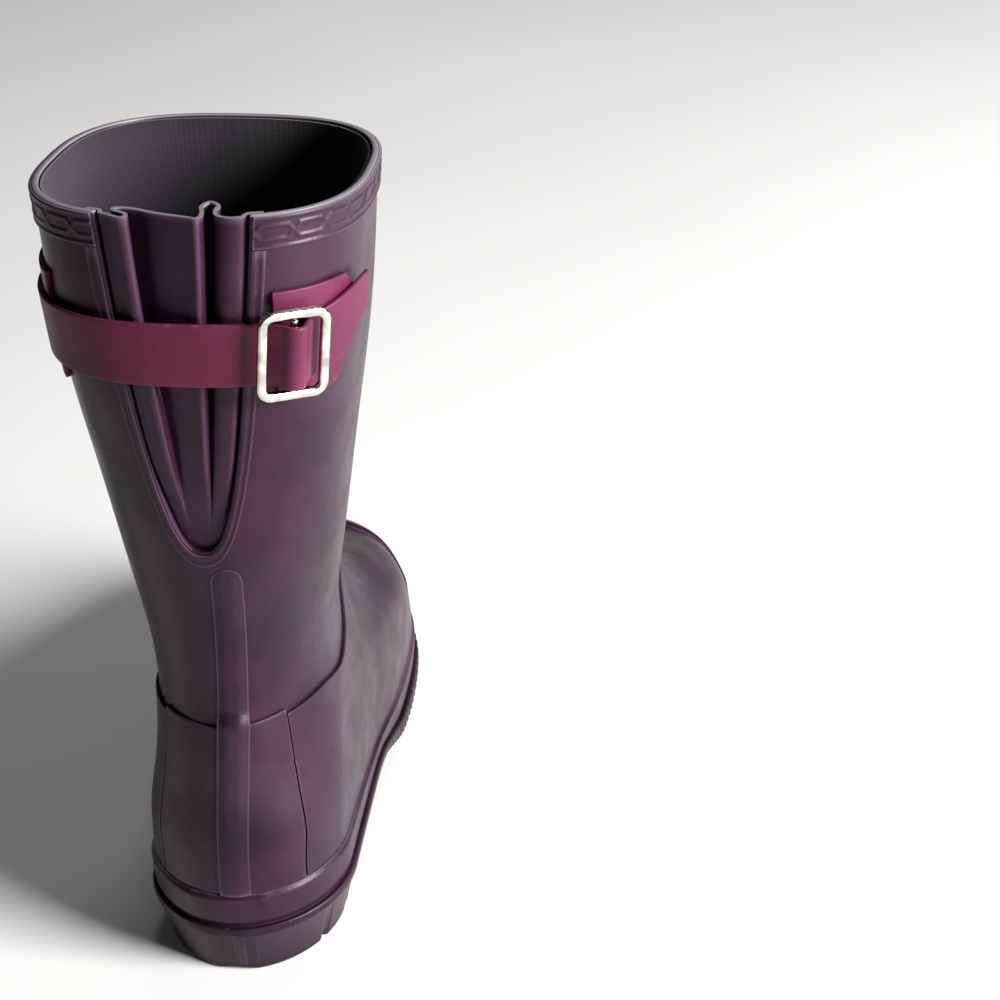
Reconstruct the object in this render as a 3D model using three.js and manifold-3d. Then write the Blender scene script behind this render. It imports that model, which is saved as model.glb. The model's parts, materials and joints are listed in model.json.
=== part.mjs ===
// A right-foot rubber rain boot with an adjustable back: an expanding gusset drawn in by a strap and a buckle.
// Millimetres, +Z up, toe towards -Y, outer side of the foot towards -X. The floor is z = 0.
// Every rubber piece is laid on one smooth surface, the last, at its own depth.

import * as THREE from 'three';
import Module from 'manifold-3d';

const wasm = await Module();
wasm.setup();

// ---------- sizes ----------

const gap = 0.3;               // clearance between pieces that touch
const footLength = 265;        // last, heel to toe
const footWidth = 92;          // last, across the ball of the foot
const legHeight = 306;         // floor to rim beside the ankle
const rimRise = 0.055;         // the rim climbs to the back, mm per mm
const legSquareness = 2.7;     // superellipse exponent of the leg at the rim

const shellWall = 2.2;
const liningWall = 0.8;
const liningGap = 0.5;
const stiffenerWall = 1.2;
const puffTop = 54;            // stiffener inside the toe
const stiffenerTop = 80;       // stiffener inside the heel
const laidGap = 0.4;           // under a panel laid on the shell
const overlayWall = 1.1;       // vamp overlay and heel counter
const capWall = 1.3;
const stayWall = 1.5;
const foxingWall = 2.6;

const plateThickness = 4;      // outsole under heel and arch
const treadThickness = 7;      // outsole under the ball and toe, without its lugs
const lugHeight = 5.5;
const heelHeight = 21.5;
const heelBreast = -12;        // where the heel block ends, y
const soleLedge = 1.6;         // outsole beyond the foxing
const heelInset = 1.4;         // heel block inside the outsole edge
const heelDraft = 4;           // the heel block narrows to the floor
const grooveWidth = 4;
const grooveDepth = 3;
const lugPitch = 13;
const lugSize = [15, 8];
const lugTurn = 0.35;
const lugSpacing = 4;          // between lugs of a row
const treadLength = 118;       // along the foot, under the ball and toe
const treadBack = -82;         // first row of lugs, y
const treadMargin = 3;         // lugs stop this far inside the edge
const grooveLength = 34;
const grooveSide = 23;         // middle of a groove from the middle of the heel

const fillerThickness = 2;
const boardThickness = 2;
const footbedThickness = 5;
const shankSize = [18, 96, 1.6];
const shankMiddle = -34;

const notchDepth = 121;        // gusset opening below the rim
const notchHalfWidth = 25;     // along the leg, at the rim
const notchPower = 2.4;        // depth grows with width to this power
const gussetWall = 1.3;
const gussetFlange = 5;        // tucked under the leg
const gussetFoot = 4.5;        // least half width, at the foot of the gusset
const pleatDepth = 13;
const tuckPlay = 0.00048;      // clearance under the leg, for each square mm of that half width
const gussetRowShare = 0.36;   // rows of the gusset for each mm of that half width
const tapeWidth = 4.5;
const tapeWall = 0.6;

const bandHeight = 11;
const bandWall = 1.0;
const counterTop = 112;
const stayTop = 178;
const stayHalfWidth = 5.5;

const strapWidth = 22;
const strapWall = 1.6;
const strapBelowRim = 45;      // rim to the middle of the strap
const strapLift = 2.2;         // inside face above the shell
const patchWall = 1.5;
const patchFit = 20;           // strap width at which a patch lies at laidGap
const patchMargin = 8.5;       // patch beyond each edge of the strap
const anchorLength = 30;
const anchorStart = notchHalfWidth + 27;   // medial, along the leg from the back centre

const buckleAt = notchHalfWidth + 9;       // lateral, along the leg from the back centre
const buckleLength = 25;
const buckleBarWidth = 3.2;
const bucklePlay = 1.6;        // between the strap's edge and the buckle
const buckleHeight = strapWidth + 2 * (buckleBarWidth + bucklePlay);
const buckleCorner = 5;        // outer corner radius
const buckleBarThickness = 2.6;
const barDiameter = 2.4;
const loopWall = 1.2;
const loopHeight = 12;
const buckleLift = 6.4;        // bar axis above the shell
const tailLength = 34;
const tailHalfTip = 4;

const labelSize = [45, 23];
const labelBelowRim = 29;
const labelAside = 10;         // middle of the label, towards the inner side
const labelBacking = 1.2;
const labelPlate = 0.9;
const labelBorder = 2.4;
const sizeLabel = [24, 18];
const sizeLabelWall = 0.4;
const sizeLabelBelowRim = 34;
const sizeLabelAt = 118;       // along the leg, on the outer side

const columns = 36;            // around the boot
const tallestRow = 16.5;       // between two levels of the leg

// ---------- curves ----------

const drawn = { length: 265, width: 92, height: 306, ankle: 120 };
const lengthwise = footLength / drawn.length;
const widthwise = footWidth / drawn.width;
const legwise = (legHeight - drawn.ankle) / (drawn.height - drawn.ankle);
const clamp = (x, a, b) => Math.min(Math.max(x, a), b);
const mix = (a, b, t) => a + (b - a) * t;
const rad = THREE.MathUtils.degToRad;
const smooth = (a, b, x) => THREE.MathUtils.smoothstep(x, a, b);
const legZ = (z) => (z < drawn.ankle ? z : drawn.ankle + (z - drawn.ankle) * legwise);

// A smooth curve through points, flat beyond its ends.
function curve(points) {
  const xs = points.map((p) => p[0]);
  const ys = points.map((p) => p[1]);
  const step = xs.slice(1).map((x, i) => x - xs[i]);
  const rise = step.map((h, i) => (ys[i + 1] - ys[i]) / h);
  const slope = ys.map((_, i) => {
    if (i === 0) return rise[0];
    if (i === ys.length - 1) return rise[i - 1];
    return (step[i] * rise[i - 1] + step[i - 1] * rise[i]) / (step[i - 1] + step[i]);
  });
  return (value) => {
    const x = clamp(value, xs[0], xs.at(-1));
    let i = 0;
    while (i < step.length - 1 && x > xs[i + 1]) i += 1;
    const h = step[i];
    const t = (x - xs[i]) / h;
    return ys[i] * (1 + 2 * t) * (1 - t) ** 2 + ys[i + 1] * t * t * (3 - 2 * t)
      + h * (slope[i] * t * (1 - t) ** 2 - slope[i + 1] * t * t * (1 - t));
  };
}
const byHeight = (points, scale) => curve(points.map(([z, v]) => [legZ(z), v * scale]));
const byLength = (points, scale) => curve(points.map(([y, v]) => [y * lengthwise, v * scale]));

// ---------- the last ----------

const frontLine = byHeight([[0, -188], [12, -196], [30, -198.5], [48, -192], [60, -180], [72, -151], [85, -120],
  [100, -93], [120, -69.5], [150, -57.5], [200, -60], [250, -61], [306, -63]], lengthwise);
const backLine = byHeight([[0, 64], [12, 63], [35, 66], [60, 66], [90, 60.5], [120, 55.5], [150, 54], [200, 58],
  [250, 61], [306, 60]], lengthwise);
const outerWidth = byLength([[-204, 39], [-170, 41], [-130, 44.5], [-90, 43.5], [-50, 40], [0, 38], [40, 37],
  [72, 36]], widthwise);
const innerWidth = byLength([[-204, 36], [-170, 42], [-130, 47], [-90, 38], [-50, 28], [0, 27], [40, 33],
  [72, 33]], widthwise);
const legWidth = byHeight([[90, 33.4], [130, 35], [160, 39.5], [200, 45], [250, 52], [306, 56]], widthwise);
const toeRadius = byHeight([[0, 48], [45, 70], [70, 80], [95, 110], [130, 90]], lengthwise);
const heelRadius = 40;

function halfWidth(y, z, outer) {
  const leg = smooth(60, 140, z);
  const front = frontLine(z);
  const back = backLine(z);
  const foot = (outer ? outerWidth : innerWidth)(y) * (1 + 0.04 * Math.sin(Math.PI * clamp(z / 80, 0, 1)));
  const width = mix(foot, legWidth(z), leg);
  const half = (back - front) / 2;
  const n = mix(2, legSquareness, smooth(legZ(120), legZ(290), z));
  const fromFront = clamp((y - front) / mix(toeRadius(z), half, leg), 0, 1);
  const fromBack = clamp((back - y) / mix(heelRadius, half, leg), 0, 1);
  const round = (q) => Math.max(0, 1 - (1 - q) ** n) ** (1 / n);
  return width * round(fromFront) * round(fromBack);
}

// theta runs from the back centre (0) by the outer side to the front centre (pi) and back by the inner side.
function last(theta, z) {
  const front = frontLine(z);
  const back = backLine(z);
  const y = back - (back - front) * (1 - Math.cos(theta)) / 2;
  const outer = Math.sin(theta) >= 0;
  const x = halfWidth(y, z, outer) * (outer ? -1 : 1);
  return new THREE.Vector3(x, y, z + smooth(legZ(150), legHeight, z) * rimRise * y);
}
function outward(theta, z) {
  const around = last(theta + 0.004, z).sub(last(theta - 0.004, z));
  const up = last(theta, Math.min(z + 0.5, legHeight)).sub(last(theta, z - 0.5));
  return around.cross(up).normalize();
}
const skin = (theta, z, depth) => last(theta, z).addScaledVector(outward(theta, z), depth);

// theta at a distance along the leg from the back centre, outer side positive.
function along(distance, z) {
  if (distance === 0) return 0;
  const side = Math.sign(distance);
  let left = Math.abs(distance);
  let theta = 0;
  let here = last(0, z);
  const turn = Math.PI / 240;
  while (theta < Math.PI) {
    const next = last(side * (theta + turn), z);
    const length = next.distanceTo(here);
    if (length >= left) return side * (theta + turn * left / length);
    left -= length;
    here = next;
    theta += turn;
  }
  return Math.PI * side;
}
// theta on the front of the leg at a place across it.
function acrossFront(x, z) {
  let [a, b] = [Math.PI / 2, Math.PI * 1.5];
  for (let i = 0; i < 30; i += 1) {
    const middle = (a + b) / 2;
    if (last(middle, z).x < x) a = middle; else b = middle;
  }
  return a;
}
const fold = (theta) => Math.acos(Math.cos(theta));
const fromBackDegrees = (theta) => THREE.MathUtils.radToDeg(fold(theta));

// ---------- levels of the sole ----------

const soleTop = byLength([[-206, 31], [-185, 23], [-160, 16], [-130, 12.5], [-90, 13], [-65, 19.5], [-46, 24.6],
  [-34, 25.5], [-20, 25.5], [70, 25.5]], 1);
const treadShare = (y) => 1 - smooth(-85 * lengthwise, -50 * lengthwise, y);
const plateBottom = (y) => soleTop(y) - mix(plateThickness, treadThickness, treadShare(y));
const planHeight = 24;
const edgeOut = laidGap + foxingWall + soleLedge;
const seat = (theta) => soleTop(skin(theta, planHeight, edgeOut).y) + gap;
const foxingTop = (theta) => byLength([[-206, 48], [-192, 45], [-178, 37], [-160, 29], [-130, 26], [-90, 27],
  [-40, 33], [0, 38], [40, 41.5], [70, 42]], 1)(last(theta, planHeight).y);
const overlayStart = (theta) => foxingTop(theta) + gap;

// ---------- solids from sheets ----------

function toMesh(name, positions, triangles, material) {
  const geometry = new THREE.BufferGeometry();
  geometry.setAttribute('position', new THREE.Float32BufferAttribute(positions, 3));
  geometry.setIndex(triangles);
  const mesh = new THREE.Mesh(geometry, material);
  mesh.name = name;
  return mesh;
}
function volumeOf(points, triangles) {
  let sum = 0;
  for (let i = 0; i < triangles.length; i += 3) {
    const [a, b, c] = [points[triangles[i]], points[triangles[i + 1]], points[triangles[i + 2]]];
    sum += a.dot(b.clone().cross(c));
  }
  return sum / 6;
}

// A grid of point pairs (outer face, inner face) becomes one closed wall. Points that coincide are welded first.
function wall(name, cols, rows, pair, material) {
  const key = (p) => `${p.x.toFixed(2)},${p.y.toFixed(2)},${p.z.toFixed(2)}`;
  const found = new Map();
  const outer = [];
  const inner = [];
  const index = [];
  for (let j = 0; j <= rows; j += 1) {
    for (let i = 0; i <= cols; i += 1) {
      const [a, b] = pair(i, j);
      const k = key(a);
      if (!found.has(k)) {
        found.set(k, outer.length);
        outer.push(a);
        inner.push(b);
      }
      index.push(found.get(k));
    }
  }
  const faces = [];
  const addFace = (a, b, c) => {
    if (a !== b && b !== c && c !== a) faces.push([a, b, c]);
  };
  for (let j = 0; j < rows; j += 1) {
    for (let i = 0; i < cols; i += 1) {
      const [a, b] = [index[j * (cols + 1) + i], index[j * (cols + 1) + i + 1]];
      const [d, c] = [index[(j + 1) * (cols + 1) + i], index[(j + 1) * (cols + 1) + i + 1]];
      addFace(a, b, c);
      addFace(a, c, d);
    }
  }
  const count = outer.length;
  const points = [...outer, ...inner];
  const edges = new Set(faces.flatMap(([a, b, c]) => [`${a}_${b}`, `${b}_${c}`, `${c}_${a}`]));
  const triangles = [];
  for (const [a, b, c] of faces) {
    triangles.push(a, b, c, a + count, c + count, b + count);
    for (const [p, q] of [[a, b], [b, c], [c, a]]) {
      if (!edges.has(`${q}_${p}`)) triangles.push(q, p, p + count, q, p + count, q + count);
    }
  }
  if (volumeOf(points, triangles) < 0) {
    for (let i = 0; i < triangles.length; i += 3) {
      [triangles[i], triangles[i + 1]] = [triangles[i + 1], triangles[i]];
    }
  }
  return toMesh(name, points.flatMap((p) => [p.x, p.y, p.z]), triangles, material);
}

// A panel laid on the last: place(i, j) gives [theta, z], and depth gives the inner and the outer face.
function laid(name, cols, rows, place, depth, material) {
  return wall(name, cols, rows, (i, j) => {
    const [theta, z] = place(i, j);
    const [low, high] = typeof depth === 'function' ? depth(theta, z) : depth;
    return [skin(theta, z, high), skin(theta, z, low)];
  }, material);
}

// The common grid: every layer bends at the same places, so that the layers never cut each other.
const grid = Array.from({ length: columns + 1 }, (_, i) => 2 * Math.PI * i / columns);
const footRows = [12, 18, 25, 32, 39, 46, 54, 62, 70, 80, 92, 106, 120];
const notchBottom = legHeight - notchDepth;
const shinSteps = Math.ceil((notchBottom - drawn.ankle) / tallestRow);
const shinRows = Array.from({ length: shinSteps - 1 }, (_, i) => mix(drawn.ankle, notchBottom, (i + 1) / shinSteps));
const notchRows = [0, 0.125, 0.25, 0.375, 0.5, 0.625, 0.75, 0.875, 1].map((q) => notchBottom
  + notchDepth * q ** notchPower);
const levels = [...footRows, ...shinRows, ...notchRows];

// Half width of the U-shaped opening, and of one that runs a margin outside it.
function notchWidth(z, margin = 0) {
  const share = clamp((z - notchBottom + margin) / (notchDepth + margin), 0, 1);
  return share > 0 ? (notchHalfWidth + margin) * share ** (1 / notchPower) : 0;
}

// ---------- materials ----------

const material = (color, roughness, metalness = 0) => new THREE.MeshStandardMaterial({ color, roughness, metalness });
const aubergineRubber = material('#3a2433', 0.55);
const soleRubber = material('#2c1c27', 0.7);
const strapRubber = material('#7a2c4c', 0.5);
const knit = material('#2b1f2c', 0.95);
const nickel = material('#c8c6c2', 0.2, 1);
const redRubber = material('#d9483b', 0.5);
const whiteRubber = material('#f1efe8', 0.45);
const greyTransfer = material('#a9a7ab', 0.6);
const board = material('#8a7458', 0.9);
const steel = material('#8d9093', 0.4, 1);
const sponge = material('#3b3340', 0.95);
const stiffRubber = material('#241a22', 0.8);

// ---------- leg, lining and gusset ----------

function legShell() {
  return laid('leg_shell', columns, levels.length - 1, (i, j) => {
    const start = seat(grid[i]);
    const z = Math.max(levels[j], start);
    const edge = along(notchWidth(z), z);
    return [clamp(grid[i], edge, 2 * Math.PI - edge), z];
  }, [-shellWall, 0], aubergineRubber);
}

const stiffenerDepth = -shellWall - gap;
const toeShare = (theta) => smooth(95, 110, fromBackDegrees(theta));
const heelShare = (theta) => 1 - smooth(58, 74, fromBackDegrees(theta));
function liningFace(theta, z) {
  const toe = toeShare(theta) * (1 - smooth(68, 84, z));
  const heel = heelShare(theta) * (1 - smooth(95, 112, z));
  return -shellWall - liningGap - (stiffenerWall + gap) * Math.max(toe, heel);
}
function lining() {
  const margin = gussetFlange + 6;
  const rim = legHeight - 1;
  const rows = [...footRows, ...shinRows, ...notchRows.filter((_, i) => i % 2 === 0)];
  return laid('lining', columns, rows.length - 1, (i, j) => {
    const z = clamp(rows[j], seat(grid[i]) + 5, rim);
    const edge = along(notchWidth(z, margin), z);
    return [clamp(grid[i], edge, 2 * Math.PI - edge), z];
  }, (theta, z) => [liningFace(theta, z) - liningWall, liningFace(theta, z)], knit);
}

// Across the gusset: [place as a share of the half width, depth as a share of the pleat depth].
// Two pleats fold inwards, one near the middle and one beside the inner seam.
const pleats = [[-0.84, 0.02], [-0.6, 0], [-0.46, 0.1], [-0.38, 0.55], [-0.3, 1], [-0.22, 0.55], [-0.14, 0.1],
  [0.05, 0], [0.35, 0], [0.58, 0.04], [0.66, 0.12], [0.73, 0.5], [0.79, 0.85], [0.85, 0.5], [0.91, 0.3]];
function gusset() {
  const gussetRows = Math.ceil(notchHalfWidth * gussetRowShare);
  const bottom = notchBottom - gussetFlange + 1;
  const tucked = shellWall + tuckPlay * (notchHalfWidth * lengthwise) ** 2 + gussetWall / 2;
  const cols = pleats.length + 3;
  const lines = Array.from({ length: gussetRows + 1 }, (_, j) => {
    const z = mix(bottom, legHeight - 2, (j / gussetRows) ** 1.7);
    const inner = Math.max(notchWidth(z) - 2 * gap, gussetFoot);
    const flange = Math.max(notchWidth(z, gussetFlange), gussetFoot + 2);
    const rise = smooth(notchBottom + 6, notchBottom + 40, z);
    const fall = pleatDepth * (inner / notchHalfWidth) ** 2;
    const spots = pleats.map(([place, share]) => [place * inner, mix(tucked, gussetWall / 2 + share * fall, rise)]);
    const across = [[-flange, tucked], [-inner, tucked], ...spots, [inner, tucked], [flange, tucked]];
    return across.map(([place, depth]) => skin(along(-place, z), z, -depth));
  });
  return wall('gusset', cols, gussetRows, (i, j) => {
    const p = lines[j][i];
    const travel = lines[j][Math.max(i - 1, 0)].clone().sub(lines[j][Math.min(i + 1, cols)]);
    const normal = new THREE.Vector3(-travel.y, travel.x, 0).normalize().multiplyScalar(gussetWall / 2);
    return [p.clone().sub(normal), p.clone().add(normal)];
  }, aubergineRubber);
}
function seamTape() {
  const steps = 24;
  return laid('gusset_seam_tape', steps, 1, (i, j) => {
    const q = mix(-1, 1, i / steps);
    const margin = 1 + j * tapeWidth;
    const top = legHeight - bandHeight - 2 * gap;
    const z = notchBottom - margin + (top - notchBottom + margin) * Math.abs(q) ** notchPower;
    return [along((notchWidth(z, margin)) * Math.sign(q), z), z];
  }, [laidGap, laidGap + tapeWall], aubergineRubber);
}
function topBand() {
  const low = legHeight - gap - bandHeight;
  return laid('top_band', columns, 1, (i, j) => {
    const z = low + bandHeight * j;
    const edge = along(notchWidth(z, 1), z);
    return [clamp(grid[i], edge, 2 * Math.PI - edge), z];
  }, [laidGap, laidGap + bandWall], aubergineRubber);
}

// ---------- panels of the foot ----------

const counterEdge = (z) => rad(mix(25, 36, smooth(43, counterTop, z)));
const vampTop = (theta) => curve([[30, 110], [60, 108], [85, 104], [105, 116], [120, 142], [135, 170], [148, 189],
  [160, 199], [180, 204]])(fromBackDegrees(theta));
// A panel that covers the common grid between two edges in theta and two in height.
function clippedPanel(name, start, end, bottom, top, depth, material = aubergineRubber, turned = 0) {
  return laid(name, columns, levels.length - 1, (i, j) => {
    const here = grid[i] - turned;
    const near = clamp(here, start(levels[j]), end(levels[j]));
    const z = clamp(levels[j], bottom(near), Math.max(top(near), bottom(near)));
    return [clamp(here, start(z), end(z)), z];
  }, depth, material);
}
const insideBottom = (theta) => seat(theta) + fillerThickness + boardThickness + 4 * gap;
const insideDepth = [stiffenerDepth - stiffenerWall, stiffenerDepth];
function toePuff() {
  return clippedPanel('toe_puff', () => rad(120), () => rad(240), insideBottom, () => puffTop, insideDepth,
    stiffRubber);
}
function heelStiffener() {
  return clippedPanel('heel_stiffener', () => rad(-40), () => rad(40), insideBottom, () => stiffenerTop, insideDepth,
    stiffRubber, Math.PI);
}
function vampOverlay() {
  const edge = (z) => counterEdge(z) + rad(0.5);
  return clippedPanel('vamp_overlay', edge, (z) => 2 * Math.PI - edge(z), overlayStart, vampTop,
    [laidGap, laidGap + overlayWall]);
}
const onOverlay = laidGap + overlayWall + 2 * gap;
function toeCap() {
  const top = (theta) => Math.max(overlayStart(theta) + 1, curve([[126, 34], [144, 55], [158, 63],
    [180, 65]])(fromBackDegrees(theta)));
  return clippedPanel('toe_cap', () => rad(130), () => rad(230), overlayStart, top, [onOverlay, onOverlay + capWall]);
}
function heelCounter() {
  const cols = 8;
  const rows = footRows.filter((z) => z > 46 && z < counterTop);
  const heights = (theta) => [overlayStart(theta), ...rows, counterTop];
  return laid('heel_counter', cols, rows.length + 1, (i, j) => {
    const z = heights(0)[j];
    const theta = counterEdge(z) * mix(-1, 1, i / cols);
    return [theta, heights(theta)[j]];
  }, [laidGap, laidGap + overlayWall], aubergineRubber);
}
function backStay() {
  const rows = [foxingTop(0) + gap, 54, 70, 92, counterTop + gap, counterTop + 1.5, 124, 140, 156,
    ...[0, 0.5, 0.8, 0.95, 1].map((t) => stayTop - stayHalfWidth + stayHalfWidth * t)];
  return laid('back_stay', 4, rows.length - 1, (i, j) => {
    const z = rows[j];
    const rounded = clamp((z - stayTop + stayHalfWidth) / stayHalfWidth, 0, 1);
    const half = stayHalfWidth * Math.sqrt(1 - 0.96 * rounded * rounded);
    const middle = mix(3.5, 7, smooth(40, stayTop, z));
    return [along(middle + half * mix(-1, 1, i / 4), z), z];
  }, (theta, z) => {
    const low = z < counterTop + 1 ? onOverlay : laidGap;
    return [low, low + stayWall];
  }, aubergineRubber);
}
function foxing() {
  const shape = [[0, foxingWall], [0.5, foxingWall], [0.85, foxingWall], [1, foxingWall - 1.2]];
  return laid('foxing_strip', columns, shape.length - 1, (i, j) => {
    const low = seat(grid[i]) + gap * lengthwise ** 2;
    return [grid[i] % (2 * Math.PI), mix(low, foxingTop(grid[i]), shape[j][0])];
  }, (theta, z) => {
    const share = (z - seat(theta)) / (foxingTop(theta) - seat(theta));
    const width = share > 0.95 ? shape[3][1] : foxingWall;
    return [laidGap, laidGap + width];
  }, aubergineRubber);
}

// ---------- sole ----------

// A layer of the sole inside the boot's outline, drawn in by inset, between two stations along the foot.
function layer(name, from, to, inset, top, bottom, material, draft = 0) {
  const across = 2;
  return wall(name, across, columns / 2, (i, j) => {
    const theta = clamp(grid[j], from, to);
    const at = (depth) => skin(theta, planHeight, depth).lerp(skin(-theta, planHeight, depth), i / across);
    const a = at(-inset);
    const b = at(-inset - draft);
    return [new THREE.Vector3(a.x, a.y, top(a.y)), new THREE.Vector3(b.x, b.y, bottom(b.y))];
  }, material);
}
function toManifold(mesh) {
  const geometry = mesh.geometry;
  return new wasm.Manifold(new wasm.Mesh({
    numProp: 3,
    vertProperties: new Float32Array(geometry.attributes.position.array),
    triVerts: new Uint32Array(geometry.index.array),
  }));
}
function fromManifold(name, solid, material) {
  const made = solid.getMesh();
  return toMesh(name, [...made.vertProperties], [...made.triVerts], material);
}
function block(size, at, turn = 0) {
  const corners = new THREE.BoxGeometry(...size).toNonIndexed().attributes.position;
  const place = new THREE.Matrix4().makeRotationZ(turn).setPosition(...at);
  const found = new Map();
  const positions = [];
  const triangles = [];
  for (let i = 0; i < corners.count; i += 1) {
    const p = new THREE.Vector3().fromBufferAttribute(corners, i).applyMatrix4(place);
    const key = p.toArray().map((v) => v.toFixed(3)).join();
    if (!found.has(key)) {
      found.set(key, positions.length / 3);
      positions.push(...p.toArray());
    }
    triangles.push(found.get(key));
  }
  return toManifold(toMesh('block', positions, triangles, soleRubber));
}
const thetaAt = (y) => {
  let [a, b] = [0, Math.PI];
  for (let i = 0; i < 30; i += 1) {
    const middle = (a + b) / 2;
    if (last(middle, planHeight).y > y) a = middle; else b = middle;
  }
  return a;
};
function outsole() {
  const plate = toManifold(layer('plate', 0, Math.PI, -edgeOut, soleTop, plateBottom, soleRubber));
  const treadStart = thetaAt((treadBack + 4) * lengthwise);
  const floor = (y) => Math.max(plateBottom(y) - lugHeight, 0);
  const treadZone = toManifold(layer('tread', treadStart, Math.PI, treadMargin - edgeOut,
    (y) => plateBottom(y) + 1.5, floor, soleRubber));
  let solid = plate;
  const rows = Math.floor(treadLength * lengthwise / lugPitch);
  for (let row = 0; row < rows; row += 1) {
    const y = treadBack * lengthwise - lugPitch * (row + 0.2);
    for (const column of [-2, -1, 0, 1, 2]) {
      const x = column * (lugSize[0] + lugSpacing) + 1;
      const turn = column === 0 ? 0 : Math.sign(column) * lugTurn;
      const lug = block([lugSize[0], lugSize[1], 60], [x, y - Math.abs(column) * 3, 20], turn).intersect(treadZone);
      if (lug.volume() > 60) solid = solid.add(lug);
    }
  }
  return fromManifold('outsole', solid, soleRubber);
}
function heelBlock() {
  const outline = layer('heel', 0, thetaAt(heelBreast * lengthwise), heelInset - edgeOut, () => heelHeight - gap,
    () => 0, soleRubber, heelDraft);
  let solid = toManifold(outline);
  for (const place of [0.12, 0.38, 0.64]) {
    const y = mix(heelBreast * lengthwise, backLine(planHeight), place) + 6;
    for (const side of [-1, 1]) {
      const groove = block([grooveLength, grooveWidth, 2 * grooveDepth], [side * grooveSide - 3, y, 0], side * 0.2);
      solid = solid.subtract(groove);
    }
  }
  return fromManifold('heel_block', solid, soleRubber);
}
const insideShell = shellWall + 4 * gap;   // the shell draws in a little below its widest place
const insideLining = shellWall + liningGap + stiffenerWall + gap + liningWall + 5 * gap;
const above = (lift) => (y) => soleTop(y) + lift;
const fillerLift = gap;
const boardLift = fillerLift + fillerThickness + gap;
const bedLift = boardLift + boardThickness + gap;
function innerLayer(name, from, to, inset, lift, thickness, material) {
  return layer(name, thetaAt(from * lengthwise), thetaAt(to * lengthwise), inset, above(lift + thickness),
    above(lift), material);
}
function shank() {
  const [width, length, thickness] = shankSize;
  const back = thetaAt((shankMiddle + length / 2) * lengthwise);
  const front = thetaAt((shankMiddle - length / 2) * lengthwise);
  return wall('shank', 1, columns / 2, (i, j) => {
    const { y } = last(clamp(grid[j], back, front), planHeight);
    const x = width * (i - 0.5) - 2;
    const z = soleTop(y) + fillerLift + gap / 2;
    return [new THREE.Vector3(x, y, z + thickness), new THREE.Vector3(x, y, z)];
  }, steel);
}

// ---------- strap and buckle ----------

const strapZ = legHeight - strapBelowRim;
function legFrame(distance) {
  const theta = along(distance, strapZ);
  const normal = outward(theta, strapZ);
  const up = last(theta, strapZ + 5).sub(last(theta, strapZ - 5)).normalize();
  return { at: last(theta, strapZ), normal, up, forward: up.clone().cross(normal).normalize() };
}
const buckle = legFrame(buckleAt);
if (buckle.forward.y > 0) buckle.forward.negate();
const buckleSpot = (a, b) => buckle.at.clone().addScaledVector(buckle.forward, a).addScaledVector(buckle.normal, b);

// A ribbon of rubber along a line of [middle point, up direction], with its own half width at each.
function ribbon(name, line, halfAt, thickness, material) {
  const across = 2;
  const steps = line.length - 1;
  return wall(name, across, steps, (i, j) => {
    const [p, up] = line[j];
    const travel = line[Math.min(j + 1, steps)][0].clone().sub(line[Math.max(j - 1, 0)][0]);
    const normal = travel.cross(up).normalize();
    const place = p.clone().addScaledVector(up, halfAt(j) * mix(-1, 1, i / across));
    return [place.clone().addScaledVector(normal, thickness / 2), place.addScaledVector(normal, -thickness / 2)];
  }, material);
}
const onLeg = (distance, depth) => {
  const spot = legFrame(distance);
  return [spot.at.addScaledVector(spot.normal, depth), spot.up];
};
const loopOuter = barDiameter / 2 + gap + loopWall;
function strap() {
  const ride = strapLift + strapWall / 2;
  const line = [];
  const backSteps = 22;
  const window = buckleLength / 2 - buckleBarWidth - 1.5;
  for (let i = 0; i <= backSteps; i += 1) {
    line.push(onLeg(mix(-anchorStart - anchorLength * 0.75, buckleAt - window, i / backSteps), ride));
  }
  const over = loopOuter + gap + strapWall / 2;
  for (const degrees of [-75, -50, -25, 0, 25, 50, 75]) {
    const turn = rad(degrees);
    line.push([buckleSpot(over * Math.sin(turn), buckleLift + over * Math.cos(turn)), buckle.up]);
  }
  const tailSteps = 6;
  for (let i = 0; i <= tailSteps; i += 1) {
    line.push(onLeg(buckleAt + mix(window, tailLength, i / tailSteps), ride));
  }
  const end = line.length - 1;
  const taper = (j) => mix(strapWidth / 2, tailHalfTip, clamp((j - end + 4) / 4, 0, 1));
  return ribbon('strap', line, taper, strapWall, strapRubber);
}
// A loop of rubber that holds the bar to its patch: round the bar, then both ends down to the patch.
function buckleLoop() {
  const middle = barDiameter / 2 + gap + loopWall / 2;
  const foot = laidGap + patchWall + gap + loopWall / 2;
  const line = [[buckleSpot(-middle, foot), buckle.up]];
  for (const degrees of [-90, -60, -30, 0, 30, 60, 90]) {
    const turn = rad(degrees);
    line.push([buckleSpot(middle * Math.sin(turn), buckleLift + middle * Math.cos(turn)), buckle.up]);
  }
  line.push([buckleSpot(middle, foot), buckle.up]);
  return ribbon('buckle_loop', line, () => loopHeight / 2, loopWall, strapRubber);
}
function patch(name, side, outline) {
  const rows = outline.length - 1;
  const lift = laidGap * legwise * (strapWidth / patchFit) ** 2;
  return laid(name, 6, rows, (i, j) => {
    const [z, from, to] = outline[j];
    return [along(side * mix(from, to, i / 6), strapZ + z), strapZ + z];
  }, [lift, lift + patchWall], strapRubber);
}
const patchHalf = strapWidth / 2 + patchMargin;
function bucklePatch() {
  const start = notchHalfWidth + 5;
  return patch('buckle_patch', 1, [[-patchHalf + 1, start, buckleAt + 18], [-8, start, buckleAt + 30],
    [5, start, buckleAt + 40], [12, start, buckleAt + 33], [patchHalf, start, buckleAt + 25]]);
}
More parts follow.
